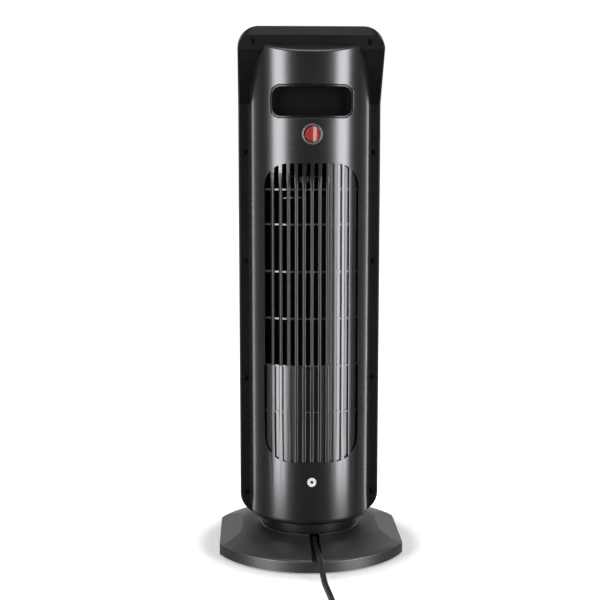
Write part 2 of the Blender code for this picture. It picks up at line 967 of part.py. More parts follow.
def slot_cells():
    """Heights between which the slots run, bar by bar."""
    edges = [grille_low - overrun] + list(bar_heights) + [grille_high + overrun]
    cells = []
    for index, (low, high) in enumerate(zip(edges, edges[1:])):
        low_edge = low + (bar_height / 2 if index > 0 else 0)
        high_edge = high - (bar_height / 2 if index < len(bar_heights) else 0)
        cells.append((low_edge, high_edge))
    return cells


def slot_boxes(name, open_ones):
    """Cutters for the open slots, or for the blind ones, as one set of separate boxes."""
    pieces = []
    back = barrel_depth + overrun
    front = barrel_depth / 4
    for index in range(slot_count):
        left, right = slot_edges(index)
        for cell, (low, high) in enumerate(slot_cells()):
            is_open = index < open_slots and cell > open_from_bar
            if is_open == open_ones:
                pieces.append(box(name, (left, front, low), (right, back, high)))
    return cutter_set(name, pieces)


def rear_shell(material):
    shell = shell_solid("rear_shell", 0)

    def on_top_edge(point):
        line = shell_top_front_z - (point.y - rear_step) * (shell_top_front_z - shell_top_rear_z) \
            / (barrel_depth - rear_step)
        return abs(point.z - line) < weld * 20

    bm = bmesh.new()
    bm.from_mesh(shell.data)
    edges = [edge for edge in bm.edges
             if on_top_edge(edge.verts[0].co) and on_top_edge(edge.verts[1].co)
             and edge.calc_face_angle(0) > math.radians(40)]
    bmesh.ops.bevel(bm, geom=edges, offset=shell_top_round, segments=2, affect="EDGES", profile=0.5)
    bm.to_mesh(shell.data)
    bm.free()
    flange_half = barrel_half_width + flange_reach
    flange = slab("shell_flange",
                  [rounded(-flange_half, flange_half, shell_bottom + shell_bottom_round,
                           rear_bend_z, flange_thickness)],
                  0, flange_thickness, "XZ")
    join(shell, flange)
    cavity = shell_solid("shell_cavity", shell_wall)
    cut(shell, cavity)
    pad = band("grille_pad", shell_wall / 2, rib_depth)
    keep(pad, slab("grille_pad_outline", [grille_outline(-shell_wall)], 0, barrel_depth * 2, "XZ"))
    settle(pad)
    join(shell, pad)
    settle(shell)
    window = slab("grille_window", [grille_outline()], 0, barrel_depth * 2, "XZ")
    settle(window)
    opened = slot_boxes("open_slots", True)
    keep(opened, window)
    cut(shell, settle(opened))
    blind = slot_boxes("blind_slots", False)
    keep(blind, window)
    blind_core = slab("blind_core", [barrel_outline(blind_depth, 0)], 0, overall_height)
    cut(blind, blind_core)
    cut(shell, settle(blind))
    settle(shell)
    for index in range(slot_count):
        left, right = slot_edges(index)
        trim = box("bar_sink", (left, 0, grille_low), (right, barrel_depth * 2, grille_high))
        keep(trim, window)
        sunk = slab("bar_sink_core", [barrel_outline(bar_sink, 0)], 0, overall_height)
        cut(trim, sunk)
        cut(shell, settle(trim))
    settle(shell)
    grip = rounded(-grip_half_width - gap, grip_half_width + gap, grip_low - gap, grip_high + gap,
                   grip_corner + gap)
    cut(shell, slab("grip_hole", [grip], barrel_depth / 3, barrel_depth * 2, "XZ"))
    cut(shell, cylinder("switch_hole", rocker_radius + rocker_play + bezel_collar_wall + gap, (0, barrel_depth / 2, switch_z),
                        (0, barrel_depth * 2, switch_z), steps=small_steps * 2))
    cut(shell, cylinder("spacer_hole", spacer_radius + gap, (0, barrel_depth / 2, spacer_z),
                        (0, barrel_depth * 2, spacer_z), steps=small_steps * 2))
    for x, z, y in frame_screw_places():
        if z < rear_bend_z:
            cut(shell, cylinder("flange_notch", notch_radius, (x, -overrun, z), (x, overrun, z)))
    for x, y in neck_screw_places():
        if y > 0:
            cut(shell, cylinder("neck_screw_hole", screw_shank_radius + gap, (x, y, 0),
                                (x, y, frame_window_low), steps=screw_steps))
    cut(shell, cylinder("neck_hole", round_room(neck_boss_radius + gap, round_steps), (0, 0, 0),
                        (0, 0, shell_bottom + overrun * 2), steps=round_steps))
    cut(shell, parting_tool("shell_parting", 0, -barrel_depth))
    return as_part(shade_round(settle(shell)), material)


def frame_outline(inset):
    return rounded(-frame_half_width + inset, frame_half_width - inset, frame_bottom + inset,
                   overall_height - inset, frame_bottom_corner - inset, frame_top_corner - inset)


def swept_solid(name, front_setback, rear_setback, inset, front_extra=0):
    """Between the front line and the rear line, inside the frame's outline set in by an amount."""
    outline = front_line(front_setback - front_extra) + rear_line(rear_setback)
    body = slab(name, [outline], -frame_half_width * 2, frame_half_width * 2, "YZ")
    keep(body, slab(name + "_outline", [frame_outline(inset)], -barrel_depth * 2, barrel_depth * 2, "XZ"))
    return settle(body)


def front_frame(material):
    frame = swept_solid("front_frame", panel_depth, gap, 0)
    round_edges(frame, frame_edge_round, angle=60)
    settle(frame)
    cut(frame, swept_solid("frame_cavity", panel_depth, gap + frame_wall, frame_wall, front_extra=overrun * 2))
    window = rounded(-frame_window_half, frame_window_half, frame_window_low, frame_window_high,
                     frame_top_corner / 2)
    cut(frame, slab("frame_window", [window], -barrel_depth, barrel_depth * 2, "XZ"))
    for x, z, y in frame_screw_places():
        cut(frame, cylinder("counterbore", counterbore_radius, (x, y - counterbore_depth, z),
                            (x, y + overrun, z)))
        cut(frame, cylinder("screw_hole", screw_shank_radius + gap, (x, y - frame_wall * 2, z),
                            (x, y + overrun, z), steps=screw_steps))
    sill_half = frame_half_width - frame_wall / 2
    join(frame, box("frame_sill", (-sill_half, front_face_y + panel_depth + gap, shell_bottom),
                    (sill_half, -gap * 2, shell_bottom + shell_wall)))
    cut(frame, cylinder("frame_neck_hole", round_room(neck_boss_radius + gap, round_steps), (0, 0, 0),
                        (0, 0, shell_bottom + overrun * 2), steps=round_steps))
    cut(frame, cylinder("frame_neck_room", round_room(neck_radius + gap, round_steps), (0, 0, 0),
                        (0, 0, neck_top_z), steps=round_steps))
    for x, y in neck_screw_places():
        if y < 0:
            cut(frame, cylinder("neck_screw_hole", screw_shank_radius + gap, (x, y, 0),
                                (x, y, frame_window_low), steps=screw_steps))
    return as_part(shade_round(settle(frame)), material)


def front_panel(material):
    """Front cover with the outlet opening, the control panel's seat and the posts inside."""
    outline = front_line(0) + list(reversed(front_line(panel_depth - gap)))
    body = slab("front_panel", [outline], -frame_half_width * 2, frame_half_width * 2, "YZ")
    keep(body, slab("panel_outline", [frame_outline(0)], -barrel_depth * 2, barrel_depth * 2, "XZ"))
    settle(body)
    outline = front_line(panel_wall) + list(reversed(front_line(panel_depth + overrun)))
    cavity = slab("panel_cavity", [outline], -frame_half_width * 2, frame_half_width * 2, "YZ")
    keep(cavity, slab("panel_cavity_outline", [frame_outline(frame_wall)], -barrel_depth * 2,
                      barrel_depth * 2, "XZ"))
    cut(body, settle(cavity))
    for x, z, y in frame_screw_places():
        front = front_reach(panel_wall / 2, z) if z > sweep_end_z else front_face_y + panel_wall / 2
        start = y - frame_wall - gap
        post = cylinder("screw_post", boss_radius, (x, front, z), (x, start, z), steps=screw_steps)
        join(body, post)
    for x, z in heater_post_places():
        join(body, cylinder("heater_post", heater_post_radius, (x, front_face_y + panel_wall / 2, z),
                            (x, heater_front_y() - gap, z), steps=screw_steps))
    settle(body)
    keep(body, swept_front("panel_trim"))
    cut(body, slab("outlet_opening", [rounded(-outlet_half_width, outlet_half_width, outlet_low,
                                              outlet_high, outlet_corner)],
                   front_face_y - overrun, front_face_y + panel_depth / 2, "XZ"))
    place = panel_matrix()
    cut(body, slab("control_opening", [rounded(-control_half_width, control_half_width,
                                               -control_half_height, control_half_height, control_corner)],
                   -overrun, overrun, "XY", place))
    for x, z, y in frame_screw_places():
        depth = screw_length + gap
        cut(body, cylinder("post_bore", screw_shank_radius + gap, (x, y + overrun, z), (x, y - depth, z),
                           steps=screw_steps))
    cut(body, cylinder("panel_neck_room", round_room(neck_radius + gap, round_steps), (0, 0, 0),
                       (0, 0, neck_top_z), steps=round_steps))
    return as_part(shade_round(settle(body)), material)


def swept_front(name):
    """Everything behind the front surface, to trim what would stand out of it."""
    outline = front_line(0) + rear_line(0)
    return slab(name, [outline], -frame_half_width * 2, frame_half_width * 2, "YZ")


def frame_screws(material):
    """Ten alike screws through the frame into the panel's posts, each with its head in a counterbore."""
    screw = cylinder("screw_head", screw_head_radius, (0, 0, 0), (0, screw_head_height, 0), steps=small_steps)
    join(screw, cylinder("screw_shank", screw_shank_radius, (0, gap, 0),
                         (0, counterbore_depth - gap - screw_length, 0), steps=screw_steps))
    settle(screw)
    shade_round(screw)
    places = [(x, y - counterbore_depth + gap, z) for x, z, y in frame_screw_places()]
    copies("frame_screw", screw, places, material)


# Grip, switch and spacer on the back

def grip_cup(material):
    """Black cup let into the shell: a floor, four walls and a stepped end on each side."""
    back = barrel_depth + overrun
    floor_y = barrel_reach(0, 0) - grip_depth
    step_y = barrel_reach(0, grip_half_width) - grip_step_depth
    outer = slab("grip_cup", [rounded(-grip_half_width, grip_half_width, grip_low, grip_high, grip_corner)],
                 floor_y - grip_wall, back, "XZ")
    skin = slab("grip_surface", [barrel_outline(gap, -overrun)], grip_low - overrun, grip_high + overrun)
    keep(outer, skin)
    for inset, low in ((grip_wall, step_y), (grip_wall + grip_step, floor_y)):
        pocket = slab("grip_pocket", [rounded(-grip_half_width + inset, grip_half_width - inset,
                                              grip_low + grip_wall, grip_high - grip_wall,
                                              grip_corner - grip_wall)], low, back, "XZ")
        cut(outer, pocket)
    return as_part(shade_round(settle(outer)), material)


def switch_pivot():
    return Vector((0, barrel_reach(0, 0) - rocker_pivot_depth, switch_z))


def switch_bezel(material):
    """Round rim on the shell with a collar through it."""
    face = barrel_reach(0, 0)
    rim_low = face + gap
    inner = rocker_radius + rocker_play
    collar = inner + bezel_collar_wall
    tail = face - switch_depth * 0.45
    profile = [
        (collar, tail), (inner, tail), (inner, rim_low + bezel_proud), (bezel_radius - bezel_rim / 2,
                                                                    rim_low + bezel_proud),
        (bezel_radius, rim_low + bezel_proud / 2), (bezel_radius, rim_low), (collar, rim_low),
    ]
    ring = turned("switch_bezel", [(radius, -height) for radius, height in profile], steps=small_steps * 2)
    ring.data.transform(Matrix.Rotation(math.radians(90), 4, "X"))
    ring.data.transform(Matrix.Translation((0, 0, switch_z)))
    pivot = switch_pivot()
    reach = rocker_radius + rocker_pin_length + gap
    cut(ring, cylinder("rocker_pin_seats", rocker_pin_radius + gap, (0, pivot.y, switch_z - reach),
                       (0, pivot.y, switch_z + reach), steps=screw_steps))
    return as_part(shade_round(settle(ring)), material)


def switch_body(material):
    """Cylinder behind the rocker with its terminals."""
    face = barrel_reach(0, 0)
    radius = rocker_radius + rocker_play + bezel_collar_wall
    front = face - switch_depth * 0.45 - gap
    back = face - switch_depth
    body = cylinder("switch_body", radius, (0, back, switch_z), (0, front, switch_z), steps=small_steps * 2)
    for side in (-1, 1):
        join(body, box("terminal", (side * radius / 2 - switch_clip / 3, back - switch_clip * 5, switch_z - switch_clip * 2),
                       (side * radius / 2 + switch_clip / 3, back + switch_clip, switch_z + switch_clip * 2)))
    return as_part(shade_round(settle(body)), material)


def switch_rocker(material):
    """Round rocker whose face is two planes at an angle, tipping on two upright stub pins."""
    pivot = switch_pivot()
    crest = rocker_pivot_depth + rocker_rise
    half = rocker_radius * 1.2
    fall = half * math.tan(math.radians(rocker_tilt / 2))
    plan = [(-half, -rocker_back), (half, -rocker_back), (half, crest - fall), (0, crest), (-half, crest - fall)]
    rocker = slab("switch_rocker", [plan], -half, half)
    keep(rocker, cylinder("rocker_round", rocker_radius, (0, -rocker_back * 2, 0), (0, crest * 2, 0),
                          steps=small_steps * 2))
    for side in (-1, 1):
        join(rocker, cylinder("rocker_pin", rocker_pin_radius, (0, 0, side * rocker_radius / 2),
                              (0, 0, side * (rocker_radius + rocker_pin_length)), steps=screw_steps))
    settle(rocker)
    rocker.data.transform(Matrix.Rotation(math.radians(rocker_tilt / 2), 4, "Z"))
    rocker.location = pivot
    return as_part(shade_round(rocker), material)


def spacer_ring(material):
    back = barrel_reach(0, 0) + spacer_proud
    ring = cylinder("spacer_ring", spacer_radius, (0, back - spacer_length, spacer_z), (0, back, spacer_z),
                    steps=small_steps * 2)
    cut(ring, cylinder("spacer_bore", spacer_hole, (0, back - spacer_length - overrun, spacer_z),
                       (0, back + overrun, spacer_z)))
    return as_part(shade_round(settle(ring)), material)


def spacer_screw(material):
    back = barrel_reach(0, 0) + spacer_proud
    screw = cylinder("spacer_screw", spacer_hole - gap, (0, back - spacer_length - overrun, spacer_z),
                     (0, back - spacer_proud * 2, spacer_z))
    return as_part(screw, material)


# Blower

def wheel_point(radius, degrees):
    angle = math.radians(degrees)
    return (wheel_x + radius * math.cos(angle), wheel_y + radius * math.sin(angle))


def blade_outline(start):
    """One forward-curved blade as a thin crescent."""
    front = []
    back = []
    for step in range(blade_steps + 1):
        share = step / blade_steps
        radius = blade_inner + (wheel_radius - blade_inner) * share
        lean = start + blade_lean * share ** 2
        half = math.degrees(blade_thickness / 2 / radius)
        front.append(wheel_point(radius, lean + half))
        back.append(wheel_point(radius, lean - half))
    return back + list(reversed(front))


def fan_wheel(material):
    """Two banks of blades between three discs, with a hub below and one above."""
    blades = slab("fan_wheel", [blade_outline(360 * count / blade_count) for count in range(blade_count)],
                  wheel_low + disc_thickness / 2, wheel_high - disc_thickness / 2)
    radius = wheel_radius + disc_reach
    for z in (wheel_low, wheel_high):
        disc = cylinder("wheel_disc", radius, (wheel_x, wheel_y, z - disc_thickness),
                        (wheel_x, wheel_y, z + disc_thickness), steps=small_steps * 2)
        join(blades, disc)
    middle = (wheel_low + wheel_high) / 2
    hole = ring_points((wheel_x, wheel_y), blade_inner - disc_thickness)
    rim = ring_points((wheel_x, wheel_y), radius, small_steps * 2)
    join(blades, slab("wheel_ring", [rim, hole], middle - disc_thickness / 2, middle + disc_thickness / 2))
    for z, way in ((wheel_low, 1), (wheel_high, -1)):
        join(blades, cylinder("wheel_hub", wheel_hub_radius, (wheel_x, wheel_y, z - way * disc_thickness / 2),
                              (wheel_x, wheel_y, z + way * wheel_hub_length)))
        cut(blades, cylinder("hub_bore", shaft_radius + gap, (wheel_x, wheel_y, z - way * overrun),
                             (wheel_x, wheel_y, z + way * (wheel_hub_length - overrun / 2))))
    settle(blades)
    return as_part(shade_round(set_origin(blades, wheel_centre)), material)


def wheel_shaft(material):
    """Drive shaft from the motor into the lower hub."""
    low = motor_top_z() - overrun * 2
    shaft = cylinder("wheel_shaft", shaft_radius, (wheel_x, wheel_y, low),
                     (wheel_x, wheel_y, wheel_low + wheel_hub_length - overrun / 2 - gap))
    return as_part(set_origin(shaft, wheel_centre), material)


def wheel_pin(material):
    """Stub pin from the upper hub into the top bearing."""
    pin = cylinder("wheel_pin", shaft_radius,
                   (wheel_x, wheel_y, wheel_high - wheel_hub_length + overrun / 2 + gap),
                   (wheel_x, wheel_y, bridge_z + gap))
    return as_part(set_origin(pin, wheel_centre), material)


def room_behind_wheel(degrees):
    """Distance from the wheel's axis to the inside of the shell's ribs, in a direction."""
    near = wheel_radius
    far = barrel_half_width
    for halving in range(halvings):
        middle = (near + far) / 2
        x, y = wheel_point(middle, degrees)
        if y < barrel_reach(rib_depth + gap, x):
            near = middle
        else:
            far = middle
    return near


def scroll_outline():
    """The spiral wall from the inlet's edge round the wheel to the duct."""
    inner = []
    outer = []
    start_reach = wheel_radius + disc_reach + scroll_clearance
    for step in range(scroll_steps + 1):
        share = step / scroll_steps
        degrees = scroll_start_angle + (scroll_end_angle - scroll_start_angle) * share
        reach = start_reach + (scroll_end_reach - start_reach) * share
        reach = min(reach, room_behind_wheel(degrees) - scroll_wall - gap)
        inner.append(wheel_point(reach, degrees))
        outer.append(wheel_point(reach + scroll_wall, degrees))
    return inner, outer


def scroll_plate(material):
    inner, outer = scroll_outline()
    outline = inner + list(reversed(outer))
    low, high = casing_levels()
    plate = slab("scroll_plate", [outline], low, high)
    return as_part(shade_round(plate), material)


def casing_levels():
    """Bottom and top of the scroll and tongue, between the two end plates."""
    return (wheel_low - disc_thickness - casing_end_gap + gap, wheel_high + disc_thickness + casing_end_gap - gap)


def tongue_plate(material):
    """Stabiliser: a plate from the duct's front up to the wheel, folded back along the inlet."""
    near = wheel_point(wheel_radius + disc_reach + tongue_gap, -35)
    fold = wheel_point(wheel_radius + disc_reach + tongue_gap * 1.6, -8)
    front = (duct_half, duct_front_y)
    tail = (duct_half + scroll_wall, near[1] + overrun)
    back = (fold[0] + overrun, fold[1] + overrun)
    outline = [front, (front[0] + scroll_wall, front[1]), tail, back, (back[0] - scroll_wall, back[1]),
               fold, near, (near[0] + scroll_wall, near[1] - scroll_wall * 2)]
    low, high = casing_levels()
    plate = slab("tongue_plate", [outline], low, high)
    return as_part(settle(plate), material)


def casing_outline():
    """Plan of the end plates: the duct, the scroll and the wheel's inlet side."""
    inner, outer = scroll_outline()
    points = [(duct_half + scroll_wall, duct_front_y)]
    for degrees in (-20, 5, 30, 55):
        points.append(wheel_point(wheel_radius + disc_reach + tongue_gap + scroll_wall * 2, degrees))
    points += outer
    return points


def casing_plate_part(name, low, hole_radius, material):
    hole = ring_points((wheel_x, wheel_y), hole_radius)
    plate = slab(name, [casing_outline(), hole], low, low + casing_plate)
    return as_part(shade_round(plate), material)


def casing_plates(material):
    low, high = casing_levels()
    casing_plate_part("casing_bottom", low - gap - casing_plate, wheel_hub_radius, material)
    casing_plate_part("casing_top", high + gap, wheel_hub_radius + gap, material)


def bearing_bridge(material):
    """Bent strip over the top plate that carries the bearing bush."""
    low = casing_levels()[1] + gap * 2 + casing_plate
    high = bridge_z
    outline = [
        (wheel_x - bridge_half_length - overrun, low), (wheel_x - bridge_half_length, low),
        (wheel_x - bridge_half_length, high - bridge_metal), (wheel_x + bridge_half_length, high - bridge_metal),
        (wheel_x + bridge_half_length, low), (wheel_x + bridge_half_length + overrun, low),
        (wheel_x + bridge_half_length + overrun, low + bridge_metal),
        (wheel_x + bridge_half_length + bridge_metal, low + bridge_metal),
        (wheel_x + bridge_half_length + bridge_metal, high), (wheel_x - bridge_half_length - bridge_metal, high),
        (wheel_x - bridge_half_length - bridge_metal, low + bridge_metal),
        (wheel_x - bridge_half_length - overrun, low + bridge_metal),
    ]
    strip = slab("bearing_bridge", [outline], wheel_y - bridge_half_width, wheel_y + bridge_half_width, "XZ")
    cut(strip, cylinder("bridge_hole", shaft_radius + running_gap, (wheel_x, wheel_y, high - overrun),
                        (wheel_x, wheel_y, high + overrun)))
    return as_part(settle(strip), material)


def bearing_bush(material):
    top = bridge_z - bridge_metal - gap
    inner = shaft_radius + running_gap
    bush = turned("bearing_bush", [(bearing_radius, top), (bearing_radius, top - bearing_height),
                                   (inner, top - bearing_height), (inner, top)], steps=small_steps)
    bush.data.transform(Matrix.Translation((wheel_x, wheel_y, 0)))
    return as_part(bush, material)


def motor_top_z():
    return casing_levels()[0] - gap * 3 - casing_plate - bracket_metal


def motor_bracket(material):
    low = motor_top_z() + gap
    outline = rounded(wheel_x - bracket_half_length, wheel_x + bracket_half_length,
                      wheel_y - bracket_half_width, wheel_y + bracket_half_width, overrun)
    hole = ring_points((wheel_x, wheel_y), shaft_radius + running_gap)
    plate = slab("motor_bracket", [outline, hole], low, low + bracket_metal)
    return as_part(plate, material)


def fan_motor(material):
    top = motor_top_z()
    can = cylinder("fan_motor", motor_radius, (wheel_x, wheel_y, top - motor_height), (wheel_x, wheel_y, top),
                   steps=small_steps * 2)
    stack = box("motor_stack", (wheel_x - motor_radius * 1.12, wheel_y - motor_radius * 0.9, top - motor_height * 0.7),
                (wheel_x + motor_radius * 1.12, wheel_y + motor_radius * 0.9, top - motor_height * 0.3))
    join(can, stack)
    cut(can, cylinder("shaft_bore", shaft_radius + running_gap, (wheel_x, wheel_y, top - overrun * 2 - gap),
                      (wheel_x, wheel_y, top + overrun)))
    return as_part(shade_round(settle(can)), material)


# Ceramic heater

def heater_rear_y():
    return duct_front_y - heater_rear_gap


def heater_front_y():
    return heater_rear_y() - heater_depth


def heater_post_places():
    """Places beside the outlet grille's lip, level with the heater's two ends."""
    x = outlet_half_width + outlet_lip + gap + heater_post_radius
    inset = heater_rim * 2
    return [(side * x, z) for side in (-1, 1) for z in (heater_low + inset, heater_high - inset)]


def heater_frame(material):
    outline = rounded(-heater_half_width, heater_half_width, heater_low, heater_high, heater_rim / 2)
    half = heater_half_width - heater_rim
    low = heater_low + heater_rim
    high = heater_high - heater_rim
    hole = [(-half, low), (half, low), (half, high), (-half, high)]
    frame = slab("heater_frame", [outline, hole], heater_front_y(), heater_rear_y(), "XZ")
    for x, z in heater_post_places():
        ends = sorted((math.copysign(heater_half_width - heater_rim / 2, x), x + math.copysign(heater_post_radius, x)))
        join(frame, box("heater_ear", (ends[0], heater_front_y() - gap / 3, z - heater_post_radius),
                        (ends[1], heater_front_y() + frame_wall, z + heater_post_radius)))
    return as_part(settle(frame), material)


def heater_core(material):
    """Bonded core: ceramic bars with folded fins between them, whose open cells the air goes through."""
    half = heater_half_width - heater_rim - gap
    low = heater_low + heater_rim + gap
    high = heater_high - heater_rim - gap
    outline = [(-half, low), (half, low), (half, high), (-half, high)]
    pitch = (2 * half - ceramic_width) / fin_columns
    fold = (high - low) / (fin_folds + 1)
    cells = []
    for column in range(fin_columns):
        left = -half + ceramic_width + pitch * column
        right = left + pitch - ceramic_width
        for index in range(fin_folds):
            base = low + fold * index
            near, far = (left, right) if index % 2 else (right, left)
            cells.append([(near, base + fin_metal), (near, base + 2 * fold - fin_metal),
                          (far + math.copysign(fin_metal, near - far), base + fold)])
    core = slab("heater_core", [outline] + cells, heater_front_y() + fin_setback,
                heater_rear_y() - fin_setback, "XZ")
    return as_part(core, material)


def thermal_cutout(material):
    y = heater_front_y() + heater_depth / 2
    low = heater_high + gap
    disc = cylinder("thermal_cutout", cutout_radius, (0, y, low), (0, y, low + cutout_height), steps=small_steps * 2)
    for side in (-1, 1):
        join(disc, box("cutout_tab", (side * cutout_radius * 0.9 - switch_clip, y - switch_clip / 3,
                                      low + cutout_height / 2),
                       (side * cutout_radius * 0.9 + switch_clip, y + switch_clip / 3, low + cutout_height * 1.6)))
    return as_part(shade_round(settle(disc)), material)


# Front

def outlet_grille(material):
    """Frame and slats in one moulding, with a lip behind the panel's edge."""
    half = outlet_half_width - gap
    low = outlet_low + gap
    high = outlet_high - gap
    outline = rounded(-half, half, low, high, outlet_corner - gap)
    slots = []
    edge = outlet_lip
    count = int((high - low - 2 * edge + slat_height) / slat_pitch)
    start = (high + low - count * slat_pitch + slat_height) / 2
    for index in range(count):
        for side in (-1, 1):
            across = sorted((side * slat_rib / 2, side * (half - edge)))
            slots.append([(across[0], start + index * slat_pitch),
                          (across[1], start + index * slat_pitch),
                          (across[1], start + (index + 1) * slat_pitch - slat_height),
                          (across[0], start + (index + 1) * slat_pitch - slat_height)])
    front = front_face_y + gap
    grille = slab("outlet_grille", [outline] + slots, front, front + outlet_grille_depth, "XZ")
    lip_low = front_face_y + panel_wall + gap
    lip = slab("outlet_lip", [rounded(-half - outlet_lip, half + outlet_lip, low - outlet_lip,
                                      high + outlet_lip, outlet_corner),
                              rounded(-half + edge / 2, half - edge / 2, low + edge / 2, high - edge / 2,
                                      outlet_corner - edge / 2)],
               lip_low, lip_low + outlet_lip / 2, "XZ")
    join(grille, lip)
    return as_part(settle(grille), material)


def button_places():
    start = -(button_count - 1) / 2
    return [((start + index) * button_spacing, -button_drop) for index in range(button_count)]


def control_panel(material):
    """Insert on the front slope with the display's seat, the button holes and the board's posts."""
    place = panel_matrix()
    face = rounded(-control_half_width + gap, control_half_width - gap, -control_half_height + gap,
                   control_half_height - gap, control_corner - gap)
    back = panel_wall * math.cos(sweep_angle) + gap
    panel = slab("control_panel", [face], -back - control_flange, -gap, "XY", place)
    flange = rounded(-control_half_width - control_lip, control_half_width + control_lip,
                     -control_half_height - control_lip, control_half_height + control_lip, control_corner)
    join(panel, slab("control_flange", [flange], -back - control_flange, -back, "XY", place))
    for x, y in board_post_places():
        start = panel_place(x, y, -back - control_flange / 2)
        end = panel_place(x, y, board_front() + gap)
        join(panel, cylinder("board_post", board_post_radius, start, end, steps=screw_steps))
    display = rounded(-display_half_width, display_half_width, display_rise - display_half_height,
                      display_rise + display_half_height, gap * 4, steps=2)
    cut(panel, slab("display_seat", [display], -display_thickness - gap, overrun, "XY", place))
    for x, y in button_places():
        cut(panel, cylinder("button_hole", button_radius + running_gap, panel_place(x, y, -overrun * 3),
                            panel_place(x, y, overrun), steps=fine_steps))
    return as_part(settle(panel), material)


def display_window(material):
    place = panel_matrix()
    outline = rounded(-display_half_width + gap, display_half_width - gap,
                      display_rise - display_half_height + gap, display_rise + display_half_height - gap,
                      gap * 4, steps=2)
    return as_part(slab("display_window", [outline], -display_thickness, 0, "XY", place), material)


def buttons(material):
    back = panel_wall * math.cos(sweep_angle) + gap + control_flange
    for index, (x, y) in enumerate(button_places()):
        cap = cylinder("button_%d" % (index + 1), button_radius, panel_place(x, y, -button_length),
                       panel_place(x, y, button_proud), steps=fine_steps)
        collar = cylinder("button_collar", button_radius + button_collar,
                          panel_place(x, y, -back - gap - button_collar), panel_place(x, y, -back - gap),
                          steps=fine_steps)
        join(cap, collar)
        settle(cap)
        as_part(shade_round(set_origin(cap, panel_place(x, y, 0))), material)


def board_front():
    """Depth of the control board's front below the panel's face, negative."""
    return -button_length - button_travel - gap - key_switch_half


def board_post_places():
    return [(side * (board_half_width - board_post_inset), up * (board_half_height - board_post_inset))
            for side in (-1, 1) for up in (-1, 1)]


def control_board(material):
    """Circuit board with a small soldered switch behind each button."""
    place = panel_matrix()
    outline = rounded(-board_half_width, board_half_width, -board_half_height, board_half_height, gap * 4,
                      steps=1)
    front = board_front()
    board = slab("control_board", [outline], front - board_thickness, front, "XY", place)
    for x, y in button_places():
        outline = [(x - key_switch_half, y - key_switch_half), (x + key_switch_half, y - key_switch_half),
                   (x + key_switch_half, y + key_switch_half), (x - key_switch_half, y + key_switch_half)]
        join(board, slab("key_switch", [outline], front - board_thickness / 2, front + key_switch_half,
                         "XY", place))
    return as_part(settle(board), material)


def tilt_switch(material):
    """Tip-over switch on the shell's floor."""
    low = shell_bottom + shell_wall + gap
    body = box("tilt_switch", (tilt_switch_x - tilt_switch_half_width, tilt_switch_y - tilt_switch_half_depth, low),
               (tilt_switch_x + tilt_switch_half_width, tilt_switch_y + tilt_switch_half_depth,
                low + tilt_switch_height))
    round_edges(body, gap * 3)
    return as_part(settle(body), material)


# Mains lead

def smooth_route(points, spacing):
    """Points at an even spacing on a smooth curve through the route's own points."""
    route = [Vector(point) for point in points]
    padded = [route[0] * 2 - route[1]] + route + [route[-1] * 2 - route[-2]]
    fine = []
    samples = 12
    for index in range(1, len(padded) - 2):
        before, start, end, after = padded[index - 1:index + 3]
        for step in range(samples):
            t = step / samples
            fine.append(0.5 * ((2 * start) + (end - before) * t
                               + (2 * before - 5 * start + 4 * end - after) * t ** 2
                               + (3 * start - before - 3 * end + after) * t ** 3))
    fine.append(route[-1])
    total = sum((b - a).length for a, b in zip(fine, fine[1:]))
    count = max(2, round(total / spacing))
    step_length = total / count
    even = [fine[0]]
    walked = 0
    for a, b in zip(fine, fine[1:]):
        length = (b - a).length
        while len(even) < count and walked + length >= step_length * len(even):
            share = (step_length * len(even) - walked) / length
            even.append(a.lerp(b, share))
        walked += length
    even.append(fine[-1])
    return even


def tube(name, points, resolution):
    """A cord along its points, with flat closed ends."""
    curve = bpy.data.curves.new(name, "CURVE")
    curve.dimensions = "3D"
    curve.bevel_depth = cord_radius
    curve.bevel_resolution = resolution
    curve.use_fill_caps = True
    spline = curve.splines.new("POLY")
    spline.points.add(len(points) - 1)
    for point, place in zip(spline.points, points):
        point.co = (*place, 1)
    item = tool(name, curve)
    graph = bpy.context.evaluated_depsgraph_get()
    mesh = bpy.data.meshes.new_from_object(item.evaluated_get(graph))
    bpy.data.objects.remove(item)
    bm = bmesh.new()
    bm.from_mesh(mesh)
    bmesh.ops.remove_doubles(bm, verts=bm.verts, dist=weld)
    return shade_round(tool(name, mesh_from(name, bm)))


def cord_lead(material):
    return as_part(tube("cord_lead", smooth_route(cord_route, cord_point_spacing), 2), material)


def coil_points():
    """Loops that spiral in, climb a layer where the spiral turns, and spiral out again."""
    low = cord_radius + coil_floor_gap
    turn_back = coil_turns / 2
    points = []
    steps = round(coil_turns * loop_points)
    for step in range(steps + 1):
        turns = step * coil_turns / steps
        radius = coil_start_radius - coil_pitch * (turn_back - abs(turn_back - turns))
        climb = min(1, max(0, (turns - turn_back + 0.25) / 0.5))
        angle = math.tau * turns
        points.append(Vector((coil_centre[0] + radius * math.cos(angle),
                              coil_centre[1] + radius * math.sin(angle),
                              low + coil_layer_rise * climb)))
    return points


def coil_ends(points):
    """The coil with one straight tube diameter added at each end."""
    first_way = Vector((0, 1, 0))
    last_way = Vector((-1, 0, 0))
    start = points[0] - first_way * cord_radius * 2
    end = points[-1] + last_way * cord_radius * 2
    return [start] + points + [end]


def least_gap(points):
    """Smallest distance between the surfaces of two stretches of the coil that aren't neighbours."""
    least = math.inf
    apart = loop_points // 2
    for index, point in enumerate(points):
        for other in range(index + apart, len(points) - 1):
            start = points[other]
            along = points[other + 1] - start
            share = min(1, max(0, (point - start).dot(along) / along.length_squared))
            least = min(least, (start + along * share - point).length)
    return least - 2 * cord_radius


def cord_coil(material):
    points = coil_ends(coil_points())
    print("Least gap of the coil to itself, mm:", round(least_gap(points) * 1000, 2))
    length = sum((b - a).length for a, b in zip(points, points[1:]))
    print("Length of cord in the coil, m:", round(length, 3))
    return as_part(tube("cord_coil", points, 1), material)


